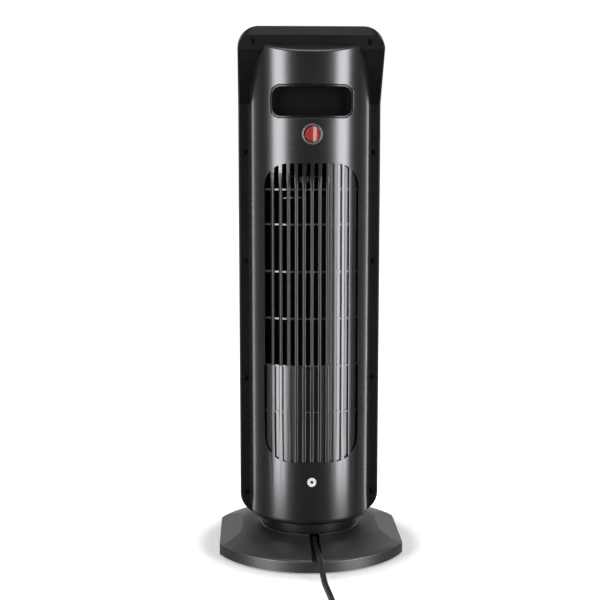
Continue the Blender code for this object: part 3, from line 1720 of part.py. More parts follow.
def plug_start():
    return coil_ends(coil_points())[-1] + Vector((-gap, 0, 0))


def plug_body(material):
    """Flat two-pin plug with a ribbed grip and a tapered cord sleeve, lying on its side."""
    start = plug_start()
    sleeve_end = start + Vector((-plug_relief_length, 0, 0))
    body_end = sleeve_end.x - plug_body_length
    side_share = plug_neck_half / plug_half_width
    outline = [
        (sleeve_end.x, start.y - plug_half_width * side_share),
        (sleeve_end.x, start.y + plug_half_width * side_share),
        (sleeve_end.x - plug_body_length * 0.45, start.y + plug_half_width),
        (body_end, start.y + plug_half_width),
        (body_end, start.y - plug_half_width),
        (sleeve_end.x - plug_body_length * 0.45, start.y - plug_half_width),
    ]
    body = slab("plug_body", [outline], start.z - plug_half_height, start.z + plug_half_height)
    round_edges(body, plug_round, angle=20)
    settle(body)
    sleeve = cylinder("plug_sleeve", plug_relief_radius, start, sleeve_end + Vector((-overrun, 0, 0)),
                      steps=small_steps, end_radius=plug_neck_half * 0.9)
    join(body, sleeve)
    for side in (-1, 1):
        y = start.y + side * pin_spacing / 2
        cut(body, cylinder("pin_seat", pin_radius + gap, (body_end + overrun, y, start.z),
                           (body_end - overrun, y, start.z)))
    return as_part(shade_round(settle(body)), material)


def plug_pins(material):
    start = plug_start()
    face = start + Vector((-plug_relief_length - plug_body_length, 0, 0))
    pin = cylinder("pin", pin_radius, (overrun - gap, 0, 0), (-pin_length, 0, 0))
    places = [face + Vector((0, side * pin_spacing / 2, 0)) for side in (-1, 1)]
    copies("plug_pin", pin, places, material)


# Assembly

def build():
    graphite = make_material("graphite_plastic", (0.040, 0.041, 0.043), 0.34, 0.25)
    black = make_material("black_plastic", (0.014, 0.014, 0.015), 0.45, 0.0)
    gloss = make_material("gloss_black", (0.010, 0.010, 0.011), 0.12, 0.0)
    rubber = make_material("rubber", (0.018, 0.018, 0.018), 0.80, 0.0)
    cord = make_material("cord_rubber", (0.020, 0.020, 0.021), 0.50, 0.0)
    steel = make_material("zinc_steel", (0.45, 0.45, 0.46), 0.35, 0.9)
    dark_steel = make_material("black_screw", (0.05, 0.05, 0.05), 0.40, 0.7)
    aluminium = make_material("aluminium", (0.60, 0.60, 0.61), 0.40, 0.9)
    nylon = make_material("white_nylon", (0.62, 0.62, 0.60), 0.45, 0.0)
    mica = make_material("heater_plastic", (0.10, 0.09, 0.08), 0.60, 0.0)
    red = make_material("red_rocker", (0.52, 0.030, 0.022), 0.22, 0.0)
    rim_grey = make_material("bezel_grey", (0.16, 0.16, 0.17), 0.35, 0.1)
    pale = make_material("pale_ring", (0.58, 0.58, 0.57), 0.50, 0.0)
    board = make_material("board_green", (0.05, 0.16, 0.07), 0.50, 0.0)
    window = make_material("smoked_window", (0.012, 0.013, 0.016), 0.06, 0.0)
    brass = make_material("nickel_brass", (0.60, 0.57, 0.50), 0.25, 1.0)

    base_cover(graphite)
    base_plate(black)
    rubber_feet(rubber)
    strain_relief(rubber)
    glide_ring(nylon)
    turntable(black)
    pivot_washer(steel)
    pivot_clip(steel)
    crank(nylon)
    swing_motor(steel)

    rear_shell(graphite)
    front_frame(black)
    front_panel(gloss)
    frame_screws(dark_steel)
    grip_cup(black)
    switch_bezel(rim_grey)
    switch_body(black)
    switch_rocker(red)
    spacer_ring(pale)
    spacer_screw(dark_steel)

    fan_wheel(black)
    wheel_shaft(steel)
    wheel_pin(steel)
    scroll_plate(black)
    tongue_plate(aluminium)
    casing_plates(black)
    bearing_bridge(steel)
    bearing_bush(nylon)
    motor_bracket(steel)
    fan_motor(steel)

    heater_frame(mica)
    heater_core(aluminium)
    thermal_cutout(nylon)

    outlet_grille(black)
    control_panel(gloss)
    display_window(window)
    buttons(black)
    control_board(board)
    tilt_switch(nylon)

    cord_lead(cord)
    cord_coil(cord)
    plug_body(cord)
    plug_pins(brass)


clear_scene()
parts = new_collection("Fan heater")
cutters = new_collection("Cutters")
build()
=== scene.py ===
import math

import bmesh
import bpy
from mathutils import Matrix, Vector


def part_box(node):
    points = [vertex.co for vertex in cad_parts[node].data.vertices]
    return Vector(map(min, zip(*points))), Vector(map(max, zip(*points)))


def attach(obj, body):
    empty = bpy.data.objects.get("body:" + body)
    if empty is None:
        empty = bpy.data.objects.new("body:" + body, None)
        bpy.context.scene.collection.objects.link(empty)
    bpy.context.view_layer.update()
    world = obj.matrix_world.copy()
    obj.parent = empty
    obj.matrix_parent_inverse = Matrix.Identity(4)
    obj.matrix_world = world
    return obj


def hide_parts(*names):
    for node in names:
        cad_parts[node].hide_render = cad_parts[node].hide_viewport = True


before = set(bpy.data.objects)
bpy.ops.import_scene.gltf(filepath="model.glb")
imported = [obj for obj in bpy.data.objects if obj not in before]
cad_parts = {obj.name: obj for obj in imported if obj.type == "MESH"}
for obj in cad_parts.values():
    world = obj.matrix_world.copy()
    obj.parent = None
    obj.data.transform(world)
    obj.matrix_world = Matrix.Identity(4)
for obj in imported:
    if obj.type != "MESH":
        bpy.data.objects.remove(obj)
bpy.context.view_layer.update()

# Sizes in metres, nearly all as in the part's source; the blind slots' depth is the scene's own
overall_height = 0.637
frame_half_width = 0.0867
frame_bottom = 0.0355
barrel_half_width = 0.0728
barrel_depth = 0.0650
barrel_power = 2.3
front_face_y = -0.062
sweep_start_z = 0.470
sweep_end_z = 0.560
sweep_radius = 0.180
rear_step = 0.046
rear_bend_z = 0.548
rear_bend_high_z = 0.6093
top_chamfer_height = 0.011
top_chamfer_depth = 0.008
top_chamfer_corner = 0.016
frame_wall = 0.003
frame_top_corner = 0.025
frame_bottom_corner = 0.028
frame_edge_round = 0.0022
frame_window_half = 0.0695
frame_window_low = 0.0425
frame_window_high = 0.6055
panel_depth = 0.018
panel_wall = 0.0026
panel_edge_round = 0.0030
shell_bottom = 0.0405
shell_wall = 0.0025
shell_bottom_round = 0.008
shell_top_front_z = 0.6148
shell_top_rear_z = 0.6066
shell_top_round = 0.0025
flange_reach = 0.0022
flange_thickness = 0.0016
notch_radius = 0.0042
grille_half_width = 0.0558
grille_low = 0.119
grille_high = 0.477
grille_corner = 0.027
slot_count = 12
rib_width = 0.0042
rib_depth = 0.0065
rib_roundness = math.radians(48)
ribs_low = 0.2363
ribs_high = 0.466
bar_heights = (0.1800, 0.2363, 0.2933, 0.3494, 0.4054, 0.4465)
bar_height = 0.0020
bar_sink = 0.0011
blind_depth = 0.0027
slot_side_round = 0.0010
slot_end_round = 0.0005
open_slots = 8
open_from_bar = 1
grip_half_width = 0.0487
grip_low = 0.530
grip_high = 0.568
grip_corner = 0.012
grip_depth = 0.026
grip_wall = 0.002
grip_step = 0.0035
grip_step_depth = 0.0035
grip_mouth_round = 0.0012
switch_z = 0.511
bezel_radius = 0.0122
rocker_radius = 0.0088
rocker_play = 0.0009
rocker_tilt = 16.0
rocker_pivot_depth = 0.0050
rocker_rise = 0.0014
rocker_back = 0.0026
collar_wall = 0.0014
switch_depth = 0.021
spacer_z = 0.0945
spacer_radius = 0.00545
spacer_hole = 0.0026
spacer_mouth = 0.0018
spacer_proud = 0.0008
spacer_length = 0.0065
side_screw_x = 0.0787
side_screw_heights = (0.065, 0.211, 0.357, 0.490)
top_screw_x = 0.0684
top_screw_z = 0.618
screw_head_radius = 0.0030
screw_head_height = 0.0016
counterbore_radius = 0.0035
counterbore_depth = 0.0019
counterbore_round = 0.0003
gap = 0.0003
overrun = 0.004
weld = 0.000005
base_radius = 0.124
base_flat_half = 0.112
foot_height = 0.002
rim_top_z = 0.0160
crown_radius = 0.0865
crown_z = 0.0257
dish_radius = 0.067
dish_z = 0.0252
hub_radius = 0.0605
hub_z = 0.0275
base_wall = 0.003
rim_round = 0.0012
facet_foot_z = 0.0152
facet_ridge_x = 0.0845
channel_x = -0.0035
channel_half = 0.0060
channel_floor_z = 0.0157
channel_start_y = 0.036
neck_radius = 0.058
neck_bottom_z = hub_z + 0.0012
neck_top_z = 0.0400
neck_boss_radius = 0.046
wheel_x = 0.007
wheel_y = 0.027
wheel_radius = 0.027
wheel_low = 0.225
wheel_high = 0.433
blade_inner = 0.0205
disc_thickness = 0.0016
disc_reach = 0.0006
control_centre_z = 0.5985
control_half_width = 0.058
control_half_height = 0.0285
control_corner = 0.007
display_half_width = 0.020
display_half_height = 0.0085
display_rise = 0.011
button_radius = 0.0052
button_drop = 0.012
button_spacing = 0.025
button_proud = 0.0010
spigot_hole = 0.0109
crank_x = 0.030
crank_throw = 0.015
crank_slot_half = 0.0036
crank_slot_corner = 0.00356
crank_shaft_bore = 0.0042
outlet_edge = 0.004
outlet_corner = 0.010
cord_radius = 0.0035
coil_centre = (-0.0640, 0.3000)
coil_start_radius = 0.0475
coil_turns = 6.25
coil_pitch = 0.0077
coil_layer_rise = 0.0076
coil_floor_gap = 0.0003
cord_route = (
    (-0.0035, 0.0583, 0.0194),
    (-0.0037, 0.0700, 0.0194),
    (-0.0045, 0.0900, 0.0195),
    (-0.0055, 0.1080, 0.0197),
    (-0.0064, 0.1220, 0.0196),
    (-0.0076, 0.1370, 0.0156),
    (-0.0089, 0.1510, 0.0086),
    (-0.0102, 0.1650, 0.0045),
    (-0.0116, 0.1780, 0.0038),
    (-0.0136, 0.1980, 0.0038),
    (-0.0153, 0.2200, 0.0038),
    (-0.0163, 0.2400, 0.0038),
    (-0.0165, 0.2600, 0.0038),
    (-0.0165, 0.2780, 0.0038),
    (-0.0165, 0.2927, 0.0038),
)
plug_half_width = 0.0180
plug_half_height = 0.0112
plug_body_length = 0.030
plug_relief_length = 0.026
pin_radius = 0.0024
pin_length = 0.019
pin_spacing = 0.019

slot_pitch = 2 * grille_half_width / slot_count
sweep_angle = math.asin((sweep_end_z - sweep_start_z) / sweep_radius)
far_x = frame_half_width * 2
far_y = barrel_depth * 2

# Where points count as lying on a skin or at a well, and where the shell's take its true normal
skin_from_y = 0.004
skin_loose = 0.00003
panel_loose = 0.00008
well_loose = 0.0001
lips_low = 0.0465
true_from_y = 0.002
true_low = 0.049
true_high = 0.6035
skin_facing = 0.8
rib_facing = 0.3

# Camera, fitted to the photograph; its focal length and aim are in pixels of 600
camera_lens = 70.72
camera_turn = 0.048
camera_away = 1.45
camera_z = 0.488
focal_length = 1179
aim_across = 9.5
aim_down = 146.1

# Lamps: name, azimuth in degrees, width and radiance
lamp_away = 1.6
lamp_z = 0.51
strip_height = 1.98
strips = (
    ("left_strip", 48.0, 0.76, 5.2),
    ("right_strip", -48.0, 0.72, 5.5),
    ("front_left_strip", 142, 0.30, 2.2),
    ("front_right_strip", -142, 0.30, 2.2),
)

# The soft lamp overhead: place, target, side and radiance
top_lamp = ((0, 0.25, 2.0), (0, 0, 0.3), 1.1, 1.6)

# The room's brightness from the heater's front, 0, to the camera's side, 1
room_levels = ((0.0, 1.0), (0.010, 0.85), (0.05, 0.34), (0.20, 0.25), (0.50, 0.06), (0.65, 0.03), (1.0, 0.02))

# Distances from the middle between which the floor grows white, and its two levels
floor_reach = (0.13, 0.17)
floor_levels = (0.34, 1.0)
floor_radius = 9
floor_grey = 0.78

scene = bpy.context.scene
scene.view_settings.view_transform = "Standard"


# Helpers for objects and shader nodes

def stash(data, name="part"):
    item = bpy.data.objects.new(name, data)
    scene.collection.objects.link(item)
    return item


def solid_from(bm, outward=True):
    """An object from a bmesh, by default with its faces turned outward."""
    if outward:
        bmesh.ops.recalc_face_normals(bm, faces=bm.faces)
        if bm.calc_volume(signed=True) < 0:
            bmesh.ops.reverse_faces(bm, faces=bm.faces)
    mesh = bpy.data.meshes.new("part")
    bm.to_mesh(mesh)
    bm.free()
    return stash(mesh)


def aim(item, way):
    item.rotation_mode = "QUATERNION"
    item.rotation_quaternion = way.to_track_quat("-Z", "Y")


def node(tree, kind, feeds=(), operation=None, **values):
    """A shader node with its inputs set by name, or fed by the sockets given for them."""
    made = tree.nodes.new("ShaderNode" + kind)
    if operation is not None:
        made.operation = operation
    for name, value in values.items():
        made.inputs[name.replace("_", " ")].default_value = value
    for key, socket in feeds:
        tree.links.new(socket, made.inputs[key])
    return made


# Camera, background, floor and lamps

def make_camera():
    data = bpy.data.cameras.new("camera")
    data.sensor_width = 36
    data.lens = camera_lens
    data.clip_end = 60
    camera = stash(data, "camera")
    camera.location = (camera_away * math.sin(camera_turn), camera_away * math.cos(camera_turn), camera_z)
    heading = camera_turn - math.atan(aim_across / focal_length)
    fall = math.atan(aim_down / focal_length)
    aim(camera, Vector((-math.sin(heading) * math.cos(fall), -math.cos(heading) * math.cos(fall),
            -math.sin(fall))))
    scene.camera = camera


def seen_rays(tree, gloss):
    """1 on rays that show the background: straight from the camera, through glass and, if asked, in gloss."""
    path = node(tree, "LightPath").outputs
    rays = [(0, path["Is Camera Ray"]), (1, path["Is Transmission Ray"])]
    seen = node(tree, "Math", rays, "MAXIMUM").outputs[0]
    if gloss:
        seen = node(tree, "Math", [(0, seen), (1, path["Is Glossy Ray"])], "MAXIMUM").outputs[0]
    return seen


def make_world():
    world = bpy.data.worlds.new("studio")
    scene.world = world
    world.use_nodes = True
    tree = world.node_tree
    tree.nodes.clear()
    white = node(tree, "Background", Color=(1, 1, 1, 1))
    place = node(tree, "TexCoord").outputs["Generated"]
    split = node(tree, "SeparateXYZ", [(0, place)])
    share = node(tree, "MapRange", [("Value", split.outputs["Y"])], From_Min=-1.0, From_Max=1.0)
    level = node(tree, "ValToRGB", [("Fac", share.outputs[0])])
    stops = level.color_ramp.elements
    while len(stops) < len(room_levels):
        stops.new(0.5)
    for stop, (position, bright) in zip(stops, room_levels):
        stop.position = position
        stop.color = (bright, bright, bright, 1)
    room = node(tree, "Background", [("Color", level.outputs["Color"])])
    mix = node(tree, "MixShader", [(0, seen_rays(tree, False)), (1, room.outputs[0]), (2, white.outputs[0])])
    node(tree, "OutputWorld", [("Surface", mix.outputs[0])])


def make_floor():
    """White to the camera, glowing less close to the base, so that the object's shadow shows there."""
    bm = bmesh.new()
    bmesh.ops.create_circle(bm, cap_ends=True, segments=96, radius=floor_radius)
    floor = solid_from(bm, False)
    floor.name = "floor"
    floor.visible_glossy = False
    floor.visible_shadow = False
    material = bpy.data.materials.new("floor_white")
    material.use_nodes = True
    tree = material.node_tree
    tree.nodes.clear()
    diffuse = node(tree, "BsdfDiffuse", Color=(floor_grey, floor_grey, floor_grey, 1))
    place = node(tree, "TexCoord").outputs["Object"]
    length = node(tree, "VectorMath", [(0, place)], "LENGTH").outputs["Value"]
    level = node(tree, "MapRange", [("Value", length)], From_Min=floor_reach[0], From_Max=floor_reach[1],
            To_Min=floor_levels[0], To_Max=floor_levels[1])
    strength = node(tree, "Math", [(0, level.outputs[0]), (1, seen_rays(tree, True))], "MULTIPLY")
    glow = node(tree, "Emission", [("Strength", strength.outputs[0])])
    total = node(tree, "AddShader", [(0, diffuse.outputs[0]), (1, glow.outputs[0])])
    node(tree, "OutputMaterial", [("Surface", total.outputs[0])])
    floor.data.materials.append(material)


def make_lamp(name, place, target, width, height, radiance):
    data = bpy.data.lights.new(name, "AREA")
    data.shape = "RECTANGLE"
    data.size = width
    data.size_y = height
    data.energy = radiance * math.pi * width * height
    lamp = stash(data, name)
    lamp.location = place
    aim(lamp, Vector(target) - Vector(place))
    lamp.visible_camera = False


def make_lamps():
    for name, azimuth, width, level in strips:
        angle = math.radians(azimuth)
        place = (lamp_away * math.sin(angle), lamp_away * math.cos(angle), lamp_z)
        make_lamp(name, place, (0, 0, lamp_z), width, strip_height, level)
    place, target, side, level = top_lamp
    make_lamp("top_soft", place, target, side, side, level)


make_camera()
make_world()
make_floor()
make_lamps()


# Materials

def ranged(tree, value, low, high, out_low, out_high):
    made = node(tree, "MapRange", [("Value", value)], From_Min=low, From_Max=high, To_Min=out_low,
            To_Max=out_high)
    return made.outputs[0]


def noise(tree, where, scale, detail, roughness):
    return node(tree, "TexNoise", [("Vector", where)], Scale=scale, Detail=detail,
            Roughness=roughness).outputs["Fac"]


def surface(name, colour, roughness, grain_scale, grain, mottle=0.10, mottle_scale=22.0, metallic=0.0,
        fleck=0.0, edge_wear_and_highlight=0.0, rough_vary=0.05, coat=0.0, streak=None, specular=0.5):
    """A moulded or metal surface: slow mottling, fine grain, lighter edges and uneven gloss; the lighter edges
    are wear on the black plastic and a painted highlight on the screws.
    """
    material = bpy.data.materials.new(name)
    material.use_nodes = True
    material.diffuse_color = (*colour, 1)
    tree = material.node_tree
    shader = tree.nodes["Principled BSDF"].inputs
    shader["Metallic"].default_value = metallic
    shader["Coat Weight"].default_value = coat
    shader["Specular IOR Level"].default_value = specular
    where = node(tree, "TexCoord").outputs["Object"]
    if streak is not None:
        where = node(tree, "Mapping", [("Vector", where)], Scale=streak).outputs[0]
    slow = noise(tree, where, mottle_scale, 4.0, 0.6)
    fine = noise(tree, where, grain_scale, 2.0, 0.5)
    tone = ranged(tree, slow, 0.3, 0.7, 1 - mottle, 1 + mottle)
    flecks = ranged(tree, fine, 0.35, 0.65, 1 - fleck, 1 + fleck)
    both = node(tree, "Math", [(0, tone), (1, flecks)], "MULTIPLY")
    tint = node(tree, "VectorMath", [("Scale", both.outputs[0])], "SCALE")
    tint.inputs[0].default_value = colour
    base = tint.outputs[0]
    # Edges lightened by pointiness: wear on the black plastic, and a painted highlight on the screws.
    if edge_wear_and_highlight:
        edges = node(tree, "NewGeometry").outputs["Pointiness"]
        lighter = tree.nodes.new("ShaderNodeMix")
        lighter.data_type = "RGBA"
        tree.links.new(ranged(tree, edges, 0.52, 0.62, 0.0, edge_wear_and_highlight), lighter.inputs["Factor"])
        tree.links.new(base, lighter.inputs["A"])
        lighter.inputs["B"].default_value = (*[min(1, c * 2.2 + 0.02) for c in colour], 1)
        base = lighter.outputs["Result"]
    tree.links.new(base, shader["Base Color"])
    tree.links.new(ranged(tree, slow, 0.25, 0.75, roughness - rough_vary, roughness + rough_vary),
            shader["Roughness"])
    bump = node(tree, "Bump", [("Height", fine)], Strength=grain, Distance=0.0001)
    tree.links.new(bump.outputs[0], shader["Normal"])
    return material


graphite = surface("graphite_plastic", (0.140, 0.142, 0.147), 0.28, 3200, 0.05, 0.03, metallic=0.96, fleck=0.06,
        rough_vary=0.010)
# A darker, rougher copy of the graphite for the open ribs' tops: the rougher finish dulls them, and the darker
# colour is painted shade.
rib_graphite_painted_shade = surface("rib_graphite_painted_shade_plastic", (0.072, 0.073, 0.076), 0.40, 3200, 0.05, 0.03, metallic=0.94,
        fleck=0.06, rough_vary=0.010)
base_graphite = surface("base_graphite_plastic", (0.128, 0.130, 0.135), 0.43, 3200, 0.16, 0.03, metallic=0.92,
        fleck=0.10, rough_vary=0.015)
cup_black = surface("grip_black_plastic", (0.0050, 0.0050, 0.0052), 0.30, 2100, 0.10, 0.06, rough_vary=0.02,
        coat=0.15)
black = surface("black_satin_plastic", (0.0050, 0.0050, 0.0054), 0.42, 1900, 0.22, 0.10, edge_wear_and_highlight=0.25,
        rough_vary=0.04, specular=0.28)
deep_black = surface("inner_black_plastic", (0.0060, 0.0060, 0.0063), 0.62, 1500, 0.25, specular=0.3)
wheel_black = surface("wheel_black_nylon", (0.010, 0.010, 0.0105), 0.40, 1500, 0.18, 0.08)
gloss = surface("gloss_black_plastic", (0.0080, 0.0080, 0.0088), 0.10, 900, 0.02, 0.06, rough_vary=0.02,
        coat=0.35)
glass = surface("smoked_window_plastic", (0.0075, 0.0085, 0.011), 0.06, 700, 0.015, 0.05, rough_vary=0.015,
        coat=0.6)
rubber = surface("foot_rubber", (0.016, 0.016, 0.016), 0.78, 1400, 0.35, 0.15)
cord_skin = surface("cord_rubber", (0.0155, 0.0155, 0.0160), 0.44, 2200, 0.25, 0.12, 60)
steel = surface("zinc_steel", (0.52, 0.52, 0.53), 0.34, 1600, 0.15, 0.10, 90, metallic=1.0, rough_vary=0.08)
# The screws' lighter edges are a painted highlight.
dark_steel = surface("black_oxide_screw", (0.018, 0.018, 0.019), 0.30, 4000, 0.2, 0.15, 300, metallic=0.9,
        edge_wear_and_highlight=0.5)
aluminium = surface("rolled_aluminium", (0.62, 0.62, 0.63), 0.36, 2400, 0.12, 0.08, 420, metallic=1.0,
        streak=(1, 1, 0.04), rough_vary=0.06)
nylon = surface("white_nylon", (0.62, 0.61, 0.58), 0.42, 1800, 0.12, 0.05)
heater_plastic = surface("heater_frame_plastic", (0.10, 0.085, 0.07), 0.58, 1500, 0.3, 0.18, 60)
red = surface("red_rocker_plastic", (0.30, 0.026, 0.024), 0.30, 900, 0.03, 0.16, 180, rough_vary=0.04, coat=0.6)
rim_grey = surface("bezel_grey_plastic", (0.20, 0.20, 0.205), 0.30, 2200, 0.1, 0.06, metallic=0.55)
pale = surface("pale_ring_plastic", (0.74, 0.74, 0.73), 0.48, 2600, 0.15, 0.06, 200)
board_green = surface("circuit_board", (0.03, 0.12, 0.05), 0.42, 1200, 0.3, 0.25, 220)
brass = surface("nickel_brass_pin", (0.66, 0.62, 0.54), 0.22, 2400, 0.08, 0.06, 200, metallic=1.0)


# Mesh helpers

def drop(*items):
    for item in items:
        bpy.data.objects.remove(item, do_unlink=True)


def evaluated(item):
    graph = bpy.context.evaluated_depsgraph_get()
    return bpy.data.meshes.new_from_object(item.evaluated_get(graph))


def settle(item):
    mesh = evaluated(item)
    item.modifiers.clear()
    item.data = mesh
    return item


def box(low, high):
    low = Vector(low)
    high = Vector(high)
    place = Matrix.Translation((high + low) / 2) @ Matrix.Diagonal((*(high - low), 1))
    bm = bmesh.new()
    bmesh.ops.create_cube(bm, size=1, matrix=place)
    return solid_from(bm)


def cylinder(radius, start, end, steps=48):
    start = Vector(start)
    end = Vector(end)
    along = end - start
    place = Matrix.Translation((start + end) / 2) @ along.to_track_quat("Z", "Y").to_matrix().to_4x4()
    bm = bmesh.new()
    bmesh.ops.create_cone(bm, cap_ends=True, segments=steps, radius1=radius, radius2=radius, depth=along.length,
            matrix=place)
    return solid_from(bm)


def pillar(radius, top, steps=96):
    """A cylinder on the floor in the tower's middle."""
    return cylinder(radius, (0, 0, 0), (0, 0, top), steps)


plane_turns = {
    "XY": Matrix.Identity(4),
    "XZ": Matrix(((1, 0, 0, 0), (0, 0, -1, 0), (0, 1, 0, 0), (0, 0, 0, 1))),
    "YZ": Matrix(((0, 0, 1, 0), (1, 0, 0, 0), (0, 1, 0, 0), (0, 0, 0, 1))),
}


def slab(outlines, low, high, plane="XY", place=None):
    """Extrude closed outlines, the inner ones as holes, between two levels of the third axis."""
    curve = bpy.data.curves.new("outline", "CURVE")
    curve.dimensions = "2D"
    curve.fill_mode = "BOTH"
    curve.extrude = (high - low) / 2
    for outline in outlines:
        spline = curve.splines.new("POLY")
        spline.points.add(len(outline) - 1)
        for point, (across, up) in zip(spline.points, outline):
            point.co = (across, up, 0, 1)
        spline.use_cyclic_u = True
    item = stash(curve)
    mesh = evaluated(item)
    drop(item)
    bm = bmesh.new()
    bm.from_mesh(mesh)
    bmesh.ops.remove_doubles(bm, verts=bm.verts, dist=weld)
    bmesh.ops.dissolve_limit(bm, angle_limit=math.radians(0.05), verts=bm.verts, edges=bm.edges)
    middle = (high + low) / 2
    if plane == "XZ":
        middle = -middle
    turn = plane_turns[plane] @ Matrix.Translation((0, 0, middle))
    if place is not None:
        turn = place @ turn
    bmesh.ops.transform(bm, matrix=turn, verts=bm.verts)
    return solid_from(bm)


def through(outline, front=-far_y, back=far_y):
    """An outline in the XZ plane, extruded from front to back, by default past every piece."""
    return slab([outline], front, back, "XZ")


def turned(profile, steps=96, closed=True):
    """Turn an outline of (radius, height) points about Z; one that isn't closed starts and ends on the axis."""
    bm = bmesh.new()
    rings = []
    for radius, height in profile:
        rings.append([bm.verts.new((radius * math.cos(a), radius * math.sin(a), height))
                for a in angles(steps if radius else 1)])
    pairs = list(zip(rings, rings[1:]))
    if closed:
        pairs.append((rings[-1], rings[0]))
    for first, second in pairs:
        for i in range(steps):
            j = (i + 1) % steps
            if len(first) == 1 and len(second) > 1:
                bm.faces.new((first[0], second[i], second[j]))
            elif len(second) == 1 and len(first) > 1:
                bm.faces.new((first[i], second[0], first[j]))
            elif len(first) > 1:
                bm.faces.new((first[i], second[i], second[j], first[j]))
    return solid_from(bm)


def loft(rings):
    """A solid skinned through rings of equally many points, with closed ends."""
    bm = bmesh.new()
    rings = [[bm.verts.new(point) for point in ring] for ring in rings]
    for first, second in zip(rings, rings[1:]):
        for i in range(len(first)):
            j = (i + 1) % len(first)
            bm.faces.new((first[i], first[j], second[j], second[i]))
    bm.faces.new(rings[0])
    bm.faces.new(rings[-1][::-1])
    return solid_from(bm)


def moved(item, place, turn=0, axis="X"):
    """Turn a mesh about an axis by degrees, and then move it."""
    item.data.transform(Matrix.Translation(place) @ Matrix.Rotation(math.radians(turn), 4, axis))
    return item


def combine(target, others, operation):
    for other in others:
        modifier = target.modifiers.new(other.name, "BOOLEAN")
        modifier.operation = operation
        modifier.object = other
        modifier.solver = "EXACT"
    settle(target)
    drop(*others)
    return target


def cut(target, *others):
    return combine(target, others, "DIFFERENCE")


def join(target, *others):
    return combine(target, others, "UNION")


def keep(target, *others):
    return combine(target, others, "INTERSECT")


def gathered(items):
    """One object from several that may touch."""
    bm = bmesh.new()
    for item in items:
        bm.from_mesh(item.data)
    drop(*items)
    return solid_from(bm, False)


def bevel_where(item, test, width, segments, sharper=0.0, pair=None):
    """Round the edges that are sharper than an angle, have both ends pass a test, and pass as a pair."""
    bm = bmesh.new()
    bm.from_mesh(item.data)
    edges = []
    for edge in bm.edges:
        a, b = edge.verts[0].co, edge.verts[1].co
        if (len(edge.link_faces) == 2 and edge.calc_face_angle(0) > math.radians(sharper) and test(a)
                and test(b) and (pair is None or pair(a, b))):
            edges.append(edge)
    bmesh.ops.bevel(bm, geom=edges, offset=width, segments=segments, affect="EDGES", profile=0.5,
            clamp_overlap=False)
    bm.to_mesh(item.data)
    bm.free()
    return item


def soften(item, width, segments=2, angle=35):
    """Small rounds on every sharp edge."""
    bevel = item.modifiers.new("Edge rounds", "BEVEL")
    bevel.width = width
    bevel.segments = segments
    bevel.limit_method = "ANGLE"
    bevel.angle_limit = math.radians(angle)
    bevel.use_clamp_overlap = True
    bevel.miter_outer = "MITER_ARC"
    return settle(item)


def shade(item, angle=40, weighted=True):
    item.data.shade_smooth()
    item.data.set_sharp_from_angle(angle=math.radians(angle))
    if weighted:
        flat = item.modifiers.new("Flat faces stay flat", "WEIGHTED_NORMAL")
        flat.keep_sharp = True
        flat.mode = "FACE_AREA"
        flat.weight = 50
    return item


def piece(item, name, material, body, nodes=()):
    """Name a finished object, give it its material, and let it ride on its body in place of CAD nodes."""
    item.name = name
    item.data.name = name
    item.data.materials.clear()
    item.data.materials.append(material)
    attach(item, body)
    if nodes:
        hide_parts(*nodes)
    return item


def angles(steps):
    return [math.tau * step / steps for step in range(steps)]


def arc(across, up, wide, high, start, sweep, steps):
    """Points of an ellipse's arc about a middle, its start and sweep in degrees."""
    turns = [math.radians(start + sweep * step / steps) for step in range(steps + 1)]
    return [(across + wide * math.cos(turn), up + high * math.sin(turn)) for turn in turns]


def rounded(half, low, high, low_radius, high_radius=None, steps=12, middle=0):
    """A rectangle about a middle, with round corners."""
    a = low_radius
    b = low_radius if high_radius is None else high_radius
    left, right = middle - half, middle + half
    return (arc(right - a, low + a, a, a, -90, 90, steps) + arc(right - b, high - b, b, b, 0, 90, steps)
            + arc(left + b, high - b, b, b, 90, 90, steps) + arc(left + a, low + a, a, a, 180, 90, steps))


# Mains lead, coil and plug

def smooth_route(points, spacing):
    route = [Vector(point) for point in points]
    padded = [route[0] * 2 - route[1]] + route + [route[-1] * 2 - route[-2]]
    fine = []
    samples = 12
    for index in range(1, len(padded) - 2):
        before, start, end, after = padded[index - 1:index + 3]
        for step in range(samples):
            t = step / samples
            fine.append(0.5 * ((2 * start) + (end - before) * t
                    + (2 * before - 5 * start + 4 * end - after) * t ** 2
                    + (3 * start - before - 3 * end + after) * t ** 3))
    fine.append(route[-1])
    total = sum((b - a).length for a, b in zip(fine, fine[1:]))
    count = round(total / spacing)
    step_length = total / count
    even = [fine[0]]
    walked = 0
    for a, b in zip(fine, fine[1:]):
        length = (b - a).length
        while len(even) < count and walked + length >= step_length * len(even):
            even.append(a.lerp(b, (step_length * len(even) - walked) / length))
        walked += length
    return even + [fine[-1]]


def coil_points():
    low = cord_radius + coil_floor_gap
    turn_back = coil_turns / 2
    points = []
    steps = round(coil_turns * 48)
    for step in range(steps + 1):
        turns = step * coil_turns / steps
        radius = coil_start_radius - coil_pitch * (turn_back - abs(turn_back - turns))
        climb = min(1, max(0, (turns - turn_back + 0.25) / 0.5))
        angle = math.tau * turns
        points.append(Vector((coil_centre[0] + radius * math.cos(angle),
                coil_centre[1] + radius * math.sin(angle), low + coil_layer_rise * climb)))
    return points


def cord_section():
    """Section of a twin-core lead: nearly round, with a shallow groove above and below."""
    points = []
    for angle in angles(40):
        groove = math.exp(-((abs(math.sin(angle)) - 1) / 0.045) ** 2)
        points.append((cord_radius * math.cos(angle), cord_radius * math.sin(angle) * (0.97 - 0.17 * groove)))
    return points


def sweep(path, section):
    """A section carried along a path and kept upright."""
    rings = []
    for index, point in enumerate(path):
        along = (path[min(index + 1, len(path) - 1)] - path[max(index - 1, 0)]).normalized()
        side = along.cross(Vector((0, 0, 1))).normalized()
        up = side.cross(along)
        rings.append([point + side * a + up * b for a, b in section])
    return loft(rings)


